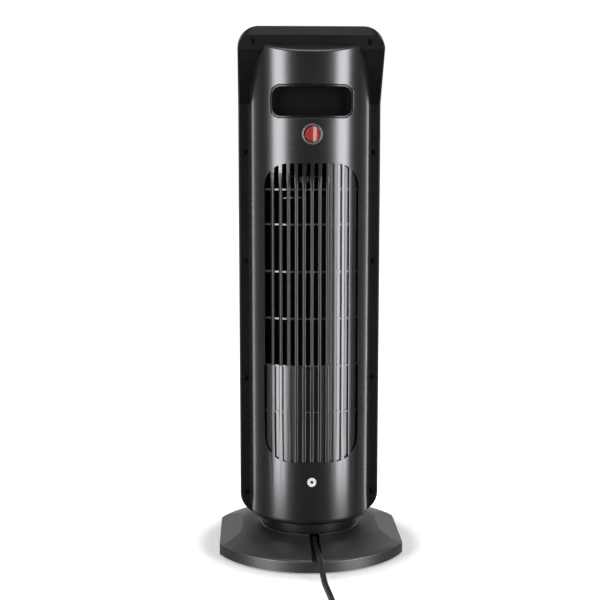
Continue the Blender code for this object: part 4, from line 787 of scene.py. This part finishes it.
def make_cord():
    coil = coil_points()
    path = smooth_route(cord_route, 0.004) + coil + [coil[-1] + Vector((-cord_radius * 2, 0, 0))]
    lead = shade(sweep(path, cord_section()), 60, False)
    piece(lead, "mains_lead", cord_skin, "base", ("cord_lead", "cord_coil"))
    start = path[-1] + Vector((-gap, 0, 0))
    body_end = start.x - plug_relief_length - plug_body_length
    plug = make_plug(start, body_end)
    profile = [(0, 0), (pin_radius, 0), (pin_radius, pin_length - 0.0018),
            (pin_radius * 0.8, pin_length - 0.0006), (pin_radius * 0.45, pin_length), (0, pin_length)]
    for number, side in ((1, -1), (2, 1)):
        pin = moved(turned(profile, 32, False), (body_end, start.y + side * pin_spacing / 2, start.z), -90, "Y")
        shade(pin, 50)
        piece(pin, "plug_pin_metal_%d" % number, brass, "base", ("plug_pin_%d" % number,))


def make_plug(start, body_end):
    """Flat two-pin plug: a ribbed sleeve that widens into a waisted body."""
    length = start.x - body_end
    sleeve = 0.44
    sleeve_start = 0.0043
    sleeve_end = 0.0077
    steps = 40
    count = 64
    rings = []
    for index in range(count + 1):
        share = index / count
        if share < sleeve:
            local = share / sleeve
            rib = 0.0005 * math.cos(local * math.pi * 9) * (1 - local * 0.3)
            wide = sleeve_start + (sleeve_end - sleeve_start) * local ** 1.6 + rib
            high = wide
        else:
            local = (share - sleeve) / (1 - sleeve)
            ease = local ** 0.6
            waist = 0.0012 * math.sin(math.pi * local)
            wide = sleeve_end + (plug_half_width - sleeve_end) * min(1, ease * 1.15) - waist
            high = sleeve_end + (plug_half_height - sleeve_end) * min(1, ease * 1.2)
        if share > 0.985:
            wide -= 0.0010
            high -= 0.0010
        power = 2 + 1.6 * max(0, share - sleeve)
        ring = []
        for angle in angles(steps):
            a = math.copysign(abs(math.cos(angle)) ** (2 / power), math.cos(angle)) * wide
            b = math.copysign(abs(math.sin(angle)) ** (2 / power), math.sin(angle)) * high
            ring.append((start.x - length * share, start.y + a, start.z + b))
        rings.append(ring)
    plug = shade(loft(rings), 55)
    return piece(plug, "plug_moulding", cord_skin, "base", ("plug_body",))


make_cord()


# Outlines shared by the housing's pieces

def barrel_reach(inset, across):
    share = min(1, abs(across) / (barrel_half_width - inset))
    return (barrel_depth - inset) * (1 - share ** barrel_power) ** (1 / barrel_power)


def barrel_normal(x, y):
    nx = math.copysign(abs(x / barrel_half_width) ** (barrel_power - 1) / barrel_half_width, x)
    ny = abs(y / barrel_depth) ** (barrel_power - 1) / barrel_depth
    return Vector((nx, ny, 0)).normalized()


def barrel_outline(inset, front_y):
    half = barrel_half_width - inset
    depth = barrel_depth - inset
    edge = math.acos((grille_half_width / half) ** (barrel_power / 2))
    flank = []
    steps = 26
    for step in range(steps + 1):
        angle = edge * step / steps
        flank.append((half * math.cos(angle) ** (2 / barrel_power),
                depth * math.sin(angle) ** (2 / barrel_power)))
    points = list(flank)
    half_pitch = slot_pitch / 2
    for index in range(1, 2 * slot_count):
        across = grille_half_width - half_pitch * index
        points.append((across, barrel_reach(inset, across)))
    points += [(-across, back) for across, back in reversed(flank)]
    return points + [(-half, front_y), (half, front_y)]


def front_line(setback, steps=24):
    y = front_face_y + setback
    points = [(y, frame_bottom - overrun)]
    for step in range(steps + 1):
        angle = sweep_angle * step / steps
        points.append((y + sweep_radius * (1 - math.cos(angle)),
                sweep_start_z + sweep_radius * math.sin(angle)))
    rise = overall_height + overrun - sweep_end_z
    points.append((points[-1][0] + rise * math.tan(sweep_angle), sweep_end_z + rise))
    return points


def front_reach(setback, z):
    start = front_face_y + setback + sweep_radius * (1 - math.cos(sweep_angle))
    return start + (z - sweep_end_z) * math.tan(sweep_angle)


def rear_line(setback):
    slope = top_chamfer_depth / top_chamfer_height
    return [(rear_step - setback - top_chamfer_depth - overrun * slope, overall_height + overrun),
            (rear_step - setback, overall_height - top_chamfer_height), (rear_step - setback, rear_bend_high_z),
            (-setback, rear_bend_z), (-setback, frame_bottom - overrun)]


def panel_matrix():
    """From the control panel's plane, with Z out of it, to the heater's frame."""
    up, out = math.sin(sweep_angle), math.cos(sweep_angle)
    return Matrix(((1, 0, 0, 0), (0, up, -out, front_reach(0, control_centre_z)),
            (0, out, up, control_centre_z), (0, 0, 0, 1)))


def grille_outline(inset=0):
    return rounded(grille_half_width - inset, grille_low + inset, grille_high - inset, grille_corner - inset,
            steps=16)


def frame_screw_places():
    places = []
    for side in (-1, 1):
        places += [(side * side_screw_x, z, -gap) for z in side_screw_heights]
        places.append((side * top_screw_x, top_screw_z, rear_step - gap))
    return places


# Rear shell

def shell_solid(inset):
    """The shell's outer form, or its cavity when inset, under the sloping lid."""
    front = -barrel_depth / 2
    low = shell_bottom + inset
    body = slab([barrel_outline(inset, front)], low, shell_top_front_z + overrun * 2)
    bevel_where(body, lambda p: abs(p.z - low) < weld * 10 and p.y > front / 2, shell_bottom_round - inset, 6)
    slope = math.atan2(shell_top_front_z - shell_top_rear_z, barrel_depth - rear_step)
    lid = box((-far_x, -far_y, 0), (far_x, far_y, barrel_depth))
    lid.data.transform(Matrix.Rotation(-slope, 4, "X"))
    lid.data.transform(Matrix.Translation((0, rear_step, shell_top_front_z - inset)))
    return cut(body, lid)


def slot_edges(index):
    right = grille_half_width - index * slot_pitch
    left = right - slot_pitch
    right -= rib_width / 2 if index > 0 else 0
    left += rib_width / 2 if index < slot_count - 1 else 0
    return left, right


def slot_boxes(open_ones):
    edges = [grille_low - overrun] + list(bar_heights) + [grille_high + overrun]
    pieces = []
    for index in range(slot_count):
        left, right = slot_edges(index)
        for cell, (low, high) in enumerate(zip(edges, edges[1:])):
            low += bar_height / 2 if cell > 0 else 0
            high -= bar_height / 2 if cell < len(bar_heights) else 0
            if (index < open_slots and cell > open_from_bar) == open_ones:
                pieces.append(box((left, barrel_depth / 4, low), (right, barrel_depth + overrun, high)))
    return gathered(pieces)


def skin_between(low, high):
    """A test for points between two heights on the barrel's skin or in its sunk bars."""
    def test(point):
        deep = barrel_reach(0, point.x) - point.y
        return point.y > skin_from_y and -skin_loose < deep < bar_sink + skin_loose and low < point.z < high
    return test


def make_shell():
    shell = shell_solid(0)
    slope = (shell_top_front_z - shell_top_rear_z) / (barrel_depth - rear_step)
    bevel_where(shell, lambda p: abs(p.z - (shell_top_front_z - (p.y - rear_step) * slope)) < weld * 20,
            shell_top_round, 5, 40)
    flange = rounded(barrel_half_width + flange_reach, shell_bottom + shell_bottom_round, rear_bend_z,
            flange_thickness, steps=6)
    join(shell, through(flange, 0, flange_thickness))
    cut(shell, shell_solid(shell_wall))
    low = grille_low - grille_corner
    high = grille_high + grille_corner
    pad = slab([barrel_outline(shell_wall / 2, 0)], low, high)
    cut(pad, slab([barrel_outline(rib_depth, -overrun)], low - overrun, high + overrun))
    keep(pad, through(grille_outline(-shell_wall), 0))
    join(shell, pad)
    window = through(grille_outline(), 0)
    cut(shell, keep(slot_boxes(True), duplicate(window)))
    sinks = gathered([box((left, 0, grille_low), (right, far_y, grille_high))
            for left, right in map(slot_edges, range(slot_count))])
    for cells, depth in ((slot_boxes(False), blind_depth), (sinks, bar_sink)):
        keep(cells, duplicate(window))
        cut(shell, cut(cells, slab([barrel_outline(depth, 0)], 0, overall_height)))
    drop(window)
    grip = rounded(grip_half_width + gap, grip_low - gap, grip_high + gap, grip_corner + gap)
    cut(shell, through(grip, barrel_depth / 3))
    for radius, z in ((rocker_radius + rocker_play + collar_wall, switch_z), (spacer_radius, spacer_z)):
        cut(shell, cylinder(radius + gap, (0, barrel_depth / 2, z), (0, far_y, z)))
    cut(shell, gathered([cylinder(notch_radius, (x, -overrun, z), (x, overrun, z), 40)
            for x, z, y in frame_screw_places() if z < rear_bend_z]))
    cut(shell, pillar(neck_boss_radius + gap * 2, shell_bottom + overrun * 2))
    low = shell_bottom - overrun * 4
    high = overall_height + overrun
    parting = [(-barrel_depth, low), (-barrel_depth, high), (rear_step, high), (rear_step, rear_bend_high_z),
            (0, rear_bend_z), (0, low)]
    cut(shell, slab([parting], -far_x, far_x, "YZ"))
    lips = skin_between(lips_low, grip_low - overrun)
    bevel_where(shell, lips, slot_side_round, 3, 40, lambda a, b: abs(a.x - b.x) < weld)
    bevel_where(shell, lips, slot_end_round, 2, 60,
            lambda a, b: abs(a.z - b.z) < weld and abs(a.x) < grille_half_width)
    bevel_where(shell, skin_between(grip_low - overrun, grip_high + overrun), grip_mouth_round, 3, 40)
    bm = bmesh.new()
    bm.from_mesh(shell.data)
    for z in (ribs_low, bar_heights[-1], ribs_high):
        every = bm.verts[:] + bm.edges[:] + bm.faces[:]
        bmesh.ops.bisect_plane(bm, geom=every, plane_co=(0, 0, z), plane_no=(0, 0, 1))
    bm.to_mesh(shell.data)
    bm.free()
    shade(shell, 42, False)
    ribs = barrel_shading(shell)
    piece(shell, "rear_shell_moulding", graphite, "tower", ("rear_shell",))
    # The open ribs' tops take the darker copy of the graphite, whose darkness is painted shade.
    shell.data.materials.append(rib_graphite_painted_shade)
    for index in ribs:
        shell.data.polygons[index].material_index = 1


def duplicate(item):
    return stash(item.data.copy())


def on_open_rib(face, mesh):
    """The middle of the rib whose top or rounded edge holds the face, or None."""
    index = round((grille_half_width - face.center.x) / slot_pitch)
    middle = grille_half_width - index * slot_pitch
    outward = barrel_normal(middle, barrel_reach(0, middle))
    if not 0 < index <= open_slots or face.normal.dot(outward) < rib_facing:
        return None
    for number in face.vertices:
        point = mesh.vertices[number].co
        if (not ribs_low - weld < point.z < ribs_high + weld or abs(point.x - middle) > rib_width / 2 + weld
                or barrel_reach(0, point.x) - point.y > bar_sink - weld):
            return None
    return middle


def barrel_shading(item):
    """Corners on the barrel's skin take the true curve's normal, and those on the open ribs' tops a round's."""
    mesh = item.data
    normals = [Vector(n.vector) for n in mesh.corner_normals]
    ribs = []
    for face in mesh.polygons:
        middle = on_open_rib(face, mesh)
        if middle is not None:
            ribs.append(face.index)
        for corner in face.loop_indices:
            point = mesh.vertices[mesh.loops[corner].vertex_index].co
            if point.y < true_from_y or not true_low < point.z < true_high:
                continue
            true = barrel_normal(point.x, point.y)
            if middle is not None:
                share = (point.x - middle) / (rib_width / 2)
                fade = min(1, max(0, (ribs_high - point.z) / (ribs_high - bar_heights[-1])))
                normals[corner] = Matrix.Rotation(-rib_roundness * share * fade, 3, "Z") @ true
                continue
            deep = abs(barrel_reach(0, point.x) - point.y) * true.y
            loose = 0.00006 if grille_low < point.z < grille_high else 0.0002
            if deep < loose and face.normal.dot(true) > skin_facing:
                normals[corner] = true
    mesh.normals_split_custom_set(normals)
    return ribs


make_shell()


# Frame and front panel

def frame_outline(inset):
    return rounded(frame_half_width - inset, frame_bottom + inset, overall_height - inset,
            frame_bottom_corner - inset, frame_top_corner - inset, 14)


def swept_solid(outline, inset):
    """A side outline carried across the heater and cut to the frame's outline."""
    return keep(slab([outline], -far_x, far_x, "YZ"), through(frame_outline(inset)))


def chamfered(item):
    """Cut the top's rear edge by a chamfer that follows the corners and runs out on the sides."""
    low = frame_bottom - overrun
    far = rear_step - gap
    half = frame_half_width + weld
    full = rounded(half, low, overall_height + weld, weld, frame_top_corner, 14)
    small = rounded(half, low, overall_height - top_chamfer_height, weld, top_chamfer_corner, 14)
    spare = overrun / top_chamfer_depth
    past = [(a + (a - c) * spare, b + (b - d) * spare) for (a, b), (c, d) in zip(small, full)]
    levels = ((-far_y, full), (far - top_chamfer_depth, full), (far + overrun, past))
    return keep(item, loft([[(x, y, z) for x, z in outline] for y, outline in levels]))


def make_frame():
    back = rear_line(gap)
    square = [(back[1][0], back[0][1])] + back[2:]
    body = swept_solid(front_line(panel_depth) + square, 0)
    soften(body, frame_edge_round, 4, 50)
    chamfered(body)
    cut(body, swept_solid(front_line(panel_depth - overrun * 2) + rear_line(gap + frame_wall), frame_wall))
    window = rounded(frame_window_half, frame_window_low, frame_window_high, frame_top_corner / 2)
    hole = through(window, -barrel_depth)
    cut(body, keep(hole, slab([barrel_outline(shell_wall, -far_y)], 0, overall_height)))
    wells = [cylinder(counterbore_radius, (x, y - counterbore_depth, z), (x, y + overrun, z), 40)
            for x, z, y in frame_screw_places()]
    cut(body, gathered(wells))
    sill_half = frame_half_width - frame_wall / 2
    sill = box((-sill_half, front_face_y + panel_depth + gap, shell_bottom),
            (sill_half, -gap * 2, shell_bottom + shell_wall))
    join(body, keep(sill, through(frame_outline(frame_wall / 2))))
    cut(body, pillar(neck_boss_radius + gap * 2, shell_bottom + overrun * 2))
    cut(body, pillar(neck_radius + gap * 2, neck_top_z))

    def at_well(p):
        return any(abs(math.hypot(p.x - x, p.z - z) - counterbore_radius) < well_loose
                and abs(p.y - y) < well_loose * 2 for x, z, y in frame_screw_places())

    bevel_where(body, at_well, counterbore_round, 2, 40)
    shade(body, 32)
    piece(body, "frame_moulding", black, "tower", ("front_frame",))


def make_front_panel():
    body = swept_solid(front_line(0) + front_line(panel_depth - gap)[::-1], 0)

    def on_face(p):
        near = front_face_y
        if p.z > sweep_end_z:
            near = front_reach(0, p.z)
        elif p.z > sweep_start_z:
            near += sweep_radius * (1 - math.sqrt(1 - ((p.z - sweep_start_z) / sweep_radius) ** 2))
        return abs(p.y - near) <= panel_loose

    bevel_where(body, on_face, panel_edge_round, 5, 50)
    cut(body, swept_solid(front_line(panel_wall) + front_line(panel_depth + overrun)[::-1], frame_wall))
    low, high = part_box("outlet_grille")
    opening = rounded(high.x - outlet_edge + gap, low.z + outlet_edge - gap, high.z - outlet_edge + gap,
            outlet_corner)
    cut(body, through(opening, front_face_y - overrun, front_face_y + panel_depth / 2))
    fascia = rounded(control_half_width, -control_half_height, control_half_height, control_corner)
    cut(body, slab([fascia], -overrun, overrun, "XY", panel_matrix()))
    cut(body, pillar(neck_radius + gap * 2, neck_top_z))
    shade(body, 32)
    piece(body, "front_panel_moulding", gloss, "tower", ("front_panel",))


make_frame()
make_front_panel()


# Screws

def make_screws():
    """Pan heads with a cross recess in ten wells; all share one mesh."""
    radius = screw_head_radius
    height = screw_head_height
    dome = arc(radius - 0.0008, height - 0.0009, 0.0008, 0.0009, 0, 90, 6)
    head = turned([(0, 0), (radius, 0)] + dome + [(0, height + 0.00005)], 40, False)
    for turn in (20, 110):
        slot = box((-0.0016, -0.00032, height - 0.0009), (0.0016, 0.00032, height + 0.001))
        cut(head, moved(slot, (0, 0, 0), turn, "Z"))
    moved(head, (0, 0, 0), -90)
    mesh = head.data
    mesh.materials.append(dark_steel)
    mesh.name = "screw_head"
    mesh.shade_smooth()
    mesh.set_sharp_from_angle(angle=math.radians(40))
    for index, (x, z, y) in enumerate(frame_screw_places()):
        item = stash(mesh, "frame_screw_head_%d" % (index + 1))
        item.location = (x, y - counterbore_depth + gap, z)
        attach(item, "tower")
        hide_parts("frame_screw_%d" % (index + 1))
    drop(head)


make_screws()


# Grip, switch and pale ring

def make_grip():
    back = barrel_depth + overrun
    floor_y = barrel_reach(0, 0) - grip_depth
    step_y = barrel_reach(0, grip_half_width) - grip_step_depth
    mouth = rounded(grip_half_width, grip_low, grip_high, grip_corner, steps=14)
    cup = through(mouth, floor_y - grip_wall, back)
    keep(cup, slab([barrel_outline(gap, -overrun)], grip_low - overrun, grip_high + overrun))
    for inset, low in ((grip_wall, step_y), (grip_wall + grip_step, floor_y)):
        pocket = rounded(grip_half_width - inset, grip_low + grip_wall, grip_high - grip_wall,
                grip_corner - grip_wall, steps=14)
        cut(cup, through(pocket, low, back))
    scar = turned([(0, 0), (0.0040, 0), (0.0040, 0.00028), (0.0034, 0.00040), (0.0028, 0.00022), (0, 0.00018)],
            48, False)
    moved(scar, (0, floor_y - 0.00001, (grip_low + grip_high) / 2), -90)
    cup = gathered([soften(cup, 0.0010, 3, 40), scar])
    shade(cup, 40)
    piece(cup, "grip_cup_moulding", cup_black, "tower", ("grip_cup",))


def backward_ring(profile, z, steps):
    """Turn an outline of (radius, depth to the rear) points about the level axis at a height."""
    ring = turned([(radius, -back) for radius, back in profile], steps)
    return shade(moved(ring, (0, 0, z), 90), 50)


def make_switch():
    face = barrel_reach(0, 0)
    inner = rocker_radius + rocker_play
    collar = inner + collar_wall
    tail = face - switch_depth * 0.45
    rim = face + gap
    crown = arc(bezel_radius - 0.00075, rim + 0.0005, 0.00075, 0.0007, 180, -180, 8)
    start = [(collar, tail), (inner, tail), (inner, rim + 0.0002), (inner + 0.0003, rim + 0.0005)]
    ring = backward_ring(start + crown + [(bezel_radius, rim), (collar, rim)], switch_z, 96)
    piece(ring, "switch_rim", rim_grey, "tower", ("switch_bezel",))
    crest = rocker_pivot_depth + rocker_rise
    half = rocker_radius * 1.2
    tilt = rocker_tilt / 2
    fall = half * math.tan(math.radians(tilt))
    plan = [(-half, -rocker_back), (half, -rocker_back)]
    steps = 16
    for step in range(steps + 1):
        across = half - 2 * half * step / steps
        share = abs(across) / half
        hollow = 0.00075 * math.sin(math.pi * min(1, share * 1.15))
        plan.append((across, crest - fall * share - hollow))
    rocker = slab([plan], -half, half)
    keep(rocker, cylinder(rocker_radius, (0, -rocker_back * 2, 0), (0, crest * 2, 0), 96))
    soften(rocker, 0.0006, 3, 40)
    shade(moved(rocker, (0, face - rocker_pivot_depth, switch_z), tilt, "Z"), 40)
    piece(rocker, "switch_rocker_moulding", red, "mains_rocker", ("switch_rocker",))


def make_spacer():
    back = barrel_reach(0, 0) + spacer_proud
    profile = [(spacer_hole, back - spacer_length), (spacer_hole, back - 0.0016), (spacer_mouth, back - 0.0013),
            (spacer_mouth, back - 0.0003), (spacer_mouth + 0.0003, back), (spacer_radius - 0.0005, back),
            (spacer_radius - 0.0001, back - 0.0002), (spacer_radius, back - 0.0006),
            (spacer_radius, back - spacer_length)]
    piece(backward_ring(profile, spacer_z, 72), "pale_spacer", pale, "tower", ("spacer_ring",))


make_grip()
make_switch()
make_spacer()


# Base, neck and strain relief

def base_profile(inset):
    top = hub_z - inset
    low_radius = base_radius - inset
    low_z = rim_top_z - inset
    bottom = foot_height + gap - (overrun if inset else 0)
    profile = [(0, top), (hub_radius - inset - 0.0006, top)]
    if not inset:
        profile += [(hub_radius, top - 0.0006)]
    profile += [(dish_radius, dish_z - inset), (dish_radius + 0.008, dish_z - inset - 0.0001)]
    crown = Vector((crown_radius, crown_z - inset))
    rim = Vector((low_radius, low_z))
    profile.append((crown.x - 0.0020, crown.y))
    steps = 14
    for step in range(steps + 1):
        share = step / steps
        point = crown.lerp(rim, share)
        bulge = 0.0011 * math.sin(math.pi * share)
        if 0 < share < 0.97:
            profile.append((point.x + bulge * 0.4, point.y + bulge))
    profile += [(low_radius - rim_round, low_z - 0.0002),
            (low_radius - rim_round * 0.3, low_z - rim_round * 0.5), (low_radius, low_z - rim_round * 1.3),
            (low_radius, bottom), (0, bottom)]
    return profile


def base_solid(inset, steps):
    """The base's body, or its hollow when inset: turned, cut flat on two sides and faceted above the flats."""
    solid = turned(base_profile(inset), steps, False)
    reach = base_radius * 2
    flat = base_flat_half - inset
    foot_z = facet_foot_z - inset
    slope = math.atan2(crown_z - inset - foot_z, flat - facet_ridge_x)
    for side in (-1, 1):
        left, right = sorted((side * flat, side * reach))
        cut(solid, box((left, -reach, -reach), (right, reach, reach)))
        facet = box((-base_radius, -reach, 0), (base_radius, reach, overrun * 4))
        facet.data.transform(Matrix.Rotation(side * slope, 4, "Y"))
        facet.data.transform(Matrix.Translation((side * flat, 0, foot_z)))
        cut(solid, facet)
    return solid


def make_base():
    cover = base_solid(0, 144)
    cut(cover, base_solid(base_wall, 96))
    left, right = channel_x - channel_half, channel_x + channel_half
    trough = box((left - base_wall, channel_start_y - base_wall, channel_floor_z - base_wall),
            (right + base_wall, base_radius - base_wall / 2, hub_z - base_wall / 2))
    join(cover, keep(trough, base_solid(base_wall / 2, 96)))
    cut(cover, box((left, channel_start_y, channel_floor_z), (right, base_radius + overrun, hub_z + overrun)))
    cut(cover, pillar(spigot_hole, hub_z + overrun, 48))
    slot = rounded(crank_throw + crank_slot_half, -crank_slot_half, crank_slot_half, crank_slot_corner,
            middle=crank_x)
    cut(cover, slab([slot], hub_z - base_wall - overrun, hub_z + overrun))
    soften(cover, 0.0006, 3, 14)
    shade(cover, 20)
    piece(cover, "base_cover_moulding", base_graphite, "base", ("base_cover",))


def make_neck():
    top = neck_top_z - gap
    wall = 0.003
    spigot = 0.0105
    bore = 0.0070
    spigot_end = 0.0200
    profile = [(neck_boss_radius, top + shell_wall), (neck_boss_radius, top), (neck_radius - 0.0008, top),
            (neck_radius, top - 0.0008), (neck_radius, neck_bottom_z + 0.0008),
            (neck_radius - 0.0005, neck_bottom_z), (neck_radius - wall, neck_bottom_z),
            (neck_radius - wall, top - wall), (spigot, top - wall), (spigot, spigot_end), (bore, spigot_end),
            (bore, top + shell_wall)]
    neck = turned(profile, 120)
    cut(neck, cylinder(crank_shaft_bore, (crank_x, 0, neck_bottom_z), (crank_x, 0, neck_top_z + overrun), 32))
    shade(neck, 40)
    piece(neck, "neck_moulding", black, "tower", ("turntable",))


def make_relief():
    """Ribbed flexible sleeve, flat below where it lies in the channel."""
    start = channel_start_y + gap
    end = cord_route[0][1] - gap
    z = cord_route[0][2]
    steps = 40
    count = 44
    rings = []
    for index in range(count + 1):
        share = index / count
        rib = 0.00035 * (1 if (index // 4) % 2 == 0 else -1) if 0.08 < share < 0.95 else 0.0002
        wide = 0.0048 - 0.0008 * share + rib
        high = min(wide, 0.0042)
        rings.append([(channel_x + wide * math.cos(angle), start + (end - start) * share,
                max(z + high * math.sin(angle), channel_floor_z + gap)) for angle in angles(steps)])
    sleeve = shade(loft(rings), 50)
    piece(sleeve, "strain_relief_sleeve", rubber, "base", ("strain_relief",))


make_base()
make_neck()
make_relief()


# Blower wheel and heater core, seen through the slots and the outlet

def wheel_point(radius, degrees):
    angle = math.radians(degrees)
    return (wheel_x + radius * math.cos(angle), wheel_y + radius * math.sin(angle))


def make_wheel():
    blades = 36
    blade_half = 0.00036
    blade_lean = 14
    shaft_hub = 0.006
    hub_length = 0.008
    steps = 6
    outlines = []
    for count in range(blades):
        front = []
        back = []
        for step in range(steps + 1):
            share = step / steps
            radius = blade_inner + (wheel_radius - blade_inner) * share
            lean = 360 * count / blades + blade_lean * share ** 2
            bulge = 0.6 + 0.8 * math.sin(math.pi * (0.15 + 0.7 * share))
            half = math.degrees(blade_half / radius) * bulge
            front.append(wheel_point(radius, lean + half))
            back.append(wheel_point(radius, lean - half))
        outlines.append(back + front[::-1])
    thick = disc_thickness
    parts = [slab(outlines, wheel_low + thick / 2, wheel_high - thick / 2)]
    radius = wheel_radius + disc_reach
    bore = 0.0033
    middle = (wheel_low + wheel_high) / 2
    inner = blade_inner - thick
    rings = [([(bore, z - thick), (radius - 0.0004, z - thick), (radius, z - thick + 0.0004),
            (radius, z + thick - 0.0004), (radius - 0.0004, z + thick), (bore, z + thick)], 72)
            for z in (wheel_low, wheel_high)]
    rings.append(([(inner, middle - thick / 2), (radius, middle - thick / 2), (radius, middle + thick / 2),
            (inner, middle + thick / 2)], 72))
    for low in (wheel_low, wheel_high - hub_length):
        high = low + hub_length
        rings.append(([(bore, low), (shaft_hub, low), (shaft_hub, high), (bore, high)], 36))
    parts += [moved(turned(profile, count), (wheel_x, wheel_y, 0)) for profile, count in rings]
    wheel = shade(gathered(parts), 35)
    piece(wheel, "blower_wheel_moulding", wheel_black, "blower_wheel", ("fan_wheel",))


def make_core():
    """Ceramic bars with fine folded aluminium fins between them."""
    low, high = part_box("heater_core")
    columns = 4
    bar = 0.0024
    pitch = (high.x - low.x - bar) / columns
    lefts = [low.x + pitch * column for column in range(columns + 1)]
    parts = [box((left, low.y, low.z), (left + bar, high.y, high.z)) for left in lefts]
    fold = 0.0017
    margin = 0.0003
    folds = int((high.z - low.z) / fold)
    step = (high.z - low.z - margin * 2) / folds
    half = 0.00013
    for left in lefts[:-1]:
        line = [(left + (bar if index % 2 else pitch), low.z + margin + step * index)
                for index in range(folds + 1)]
        outline = [(x, z - half) for x, z in line] + [(x, z + half) for x, z in line[::-1]]
        parts.append(through(outline, low.y + 0.0004, high.y - 0.0004))
    core = shade(gathered(parts), 30, False)
    piece(core, "heater_core_fins", aluminium, "tower", ("heater_core",))


make_wheel()
make_core()


# Outlet grille, control panel, display and buttons

def make_outlet():
    """Rim, bars and post in one, with blinds where no heater core stands behind the slots, and a lip."""
    low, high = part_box("outlet_grille")
    edge = outlet_edge
    half = high.x - edge
    z_low = low.z + edge
    z_high = high.z - edge
    corner = 0.0097
    count = 34
    pitch = (z_high - z_low - 2 * edge) / count
    bar = 0.0019
    front = low.y
    inner = rounded(half - edge, z_low + edge, z_high - edge, corner - edge)
    parts = [slab([rounded(half, z_low, z_high, corner), inner], front, front + 0.006, "XZ")]
    seat = half - edge + overrun / 4
    for index in range(1, count):
        z = z_low + edge + index * pitch
        parts.append(box((-seat, front + 0.0001, z - bar / 2), (seat, front + 0.0059, z + bar / 2)))
    core_low, core_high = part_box("heater_core")
    for side, y, depth, start, end in ((0.0011, 0.0006, 0.0048, z_low + edge / 2, z_high - edge / 2),
            (seat, 0.0050, 0.0008, z_low + edge / 2, core_low.z),
            (seat, 0.0050, 0.0008, core_high.z, z_high - edge / 2)):
        parts.append(box((-side, front + y, start), (side, front + y + depth, end)))
    grille = soften(gathered(parts), 0.0004, 2, 40)
    lip_low = front_face_y + panel_wall + gap
    lip = slab([rounded(half + edge, z_low - edge, z_high + edge, outlet_corner),
            rounded(half - edge / 2, z_low + edge / 2, z_high - edge / 2, 0.008)], lip_low, lip_low + edge / 2,
            "XZ")
    grille = gathered([grille, lip])
    shade(grille, 40)
    piece(grille, "outlet_grille_moulding", black, "tower", ("outlet_grille",))


def make_controls():
    place = panel_matrix()
    back = panel_wall * math.cos(sweep_angle) + gap

    def plate(inset, half_width, half_height, rise, corner, low, high):
        outline = rounded(half_width - inset, rise - half_height + inset, rise + half_height - inset, corner)
        return slab([outline], low, high, "XY", place)

    display = (display_half_width, display_half_height, display_rise, 0.0012)
    panel = plate(gap, control_half_width, control_half_height, 0, control_corner - gap, -back - 0.0015, -gap)
    cut(panel, plate(0, *display, -0.0017, overrun))
    spots = [((index - 1.5) * button_spacing, -button_drop) for index in range(4)]
    for x, y in spots:
        cut(panel, cylinder(button_radius + 0.0004, place @ Vector((x, y, -overrun * 3)),
                place @ Vector((x, y, overrun)), 64))
    shade(soften(panel, 0.0004, 2, 40), 40)
    piece(panel, "control_fascia", gloss, "tower", ("control_panel",))
    lens = shade(soften(plate(gap, *display, -0.0014, 0), 0.0003, 2, 40), 40)
    piece(lens, "display_lens", glass, "tower", ("display_window",))
    edge = button_radius
    top = button_proud
    profile = [(0, -0.0075), (edge, -0.0075), (edge, top - 0.0006), (edge - 0.0003, top - 0.0001),
            (edge - 0.0007, top), (edge - 0.0013, top - 0.0001), (edge * 0.4, top - 0.00055),
            (0, top - 0.00065)]
    for number, (x, y) in enumerate(spots, 1):
        cap = turned(profile, 64, False)
        cap.data.transform(place @ Matrix.Translation((x, y, 0)))
        shade(cap, 50)
        piece(cap, "button_cap_%d" % number, black, "key_%d" % number, ("button_%d" % number,))


make_outlet()
make_controls()


# Screw heads under the base

def make_plate_screws():
    circle = 0.100
    for index in range(4):
        angle = math.radians(15 + 90 * index)
        head = turned([(0, 0.0012), (0.0022, 0.0012), (0.0024, 0.0014), (0.0024, 0.00225), (0, 0.00225)], 32,
                False)
        cut(head, box((-0.0013, -0.0003, 0.0005), (0.0013, 0.0003, 0.0018)))
        shade(moved(head, (circle * math.cos(angle), circle * math.sin(angle), 0)), 40)
        piece(head, "plate_screw_head_%d" % (index + 1), dark_steel, "base", ())


make_plate_screws()


# Materials of the CAD pieces that show as they are

kept = (
    (black, "base_plate"),
    (wheel_black, "glide_ring"),
    (steel, "pivot_washer pivot_clip swing_motor bearing_bridge motor_bracket fan_motor wheel_shaft wheel_pin"),
    (nylon, "crank bearing_bush thermal_cutout tilt_switch"),
    (deep_black, "switch_body scroll_plate tongue_plate casing_bottom casing_top"),
    (dark_steel, "spacer_screw"),
    (heater_plastic, "heater_frame"),
    (board_green, "control_board"),
    (rubber, "rubber_foot_1 rubber_foot_2 rubber_foot_3 rubber_foot_4"),
)
for material, names in kept:
    for name in names.split():
        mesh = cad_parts[name].data
        mesh.materials.clear()
        mesh.materials.append(material)
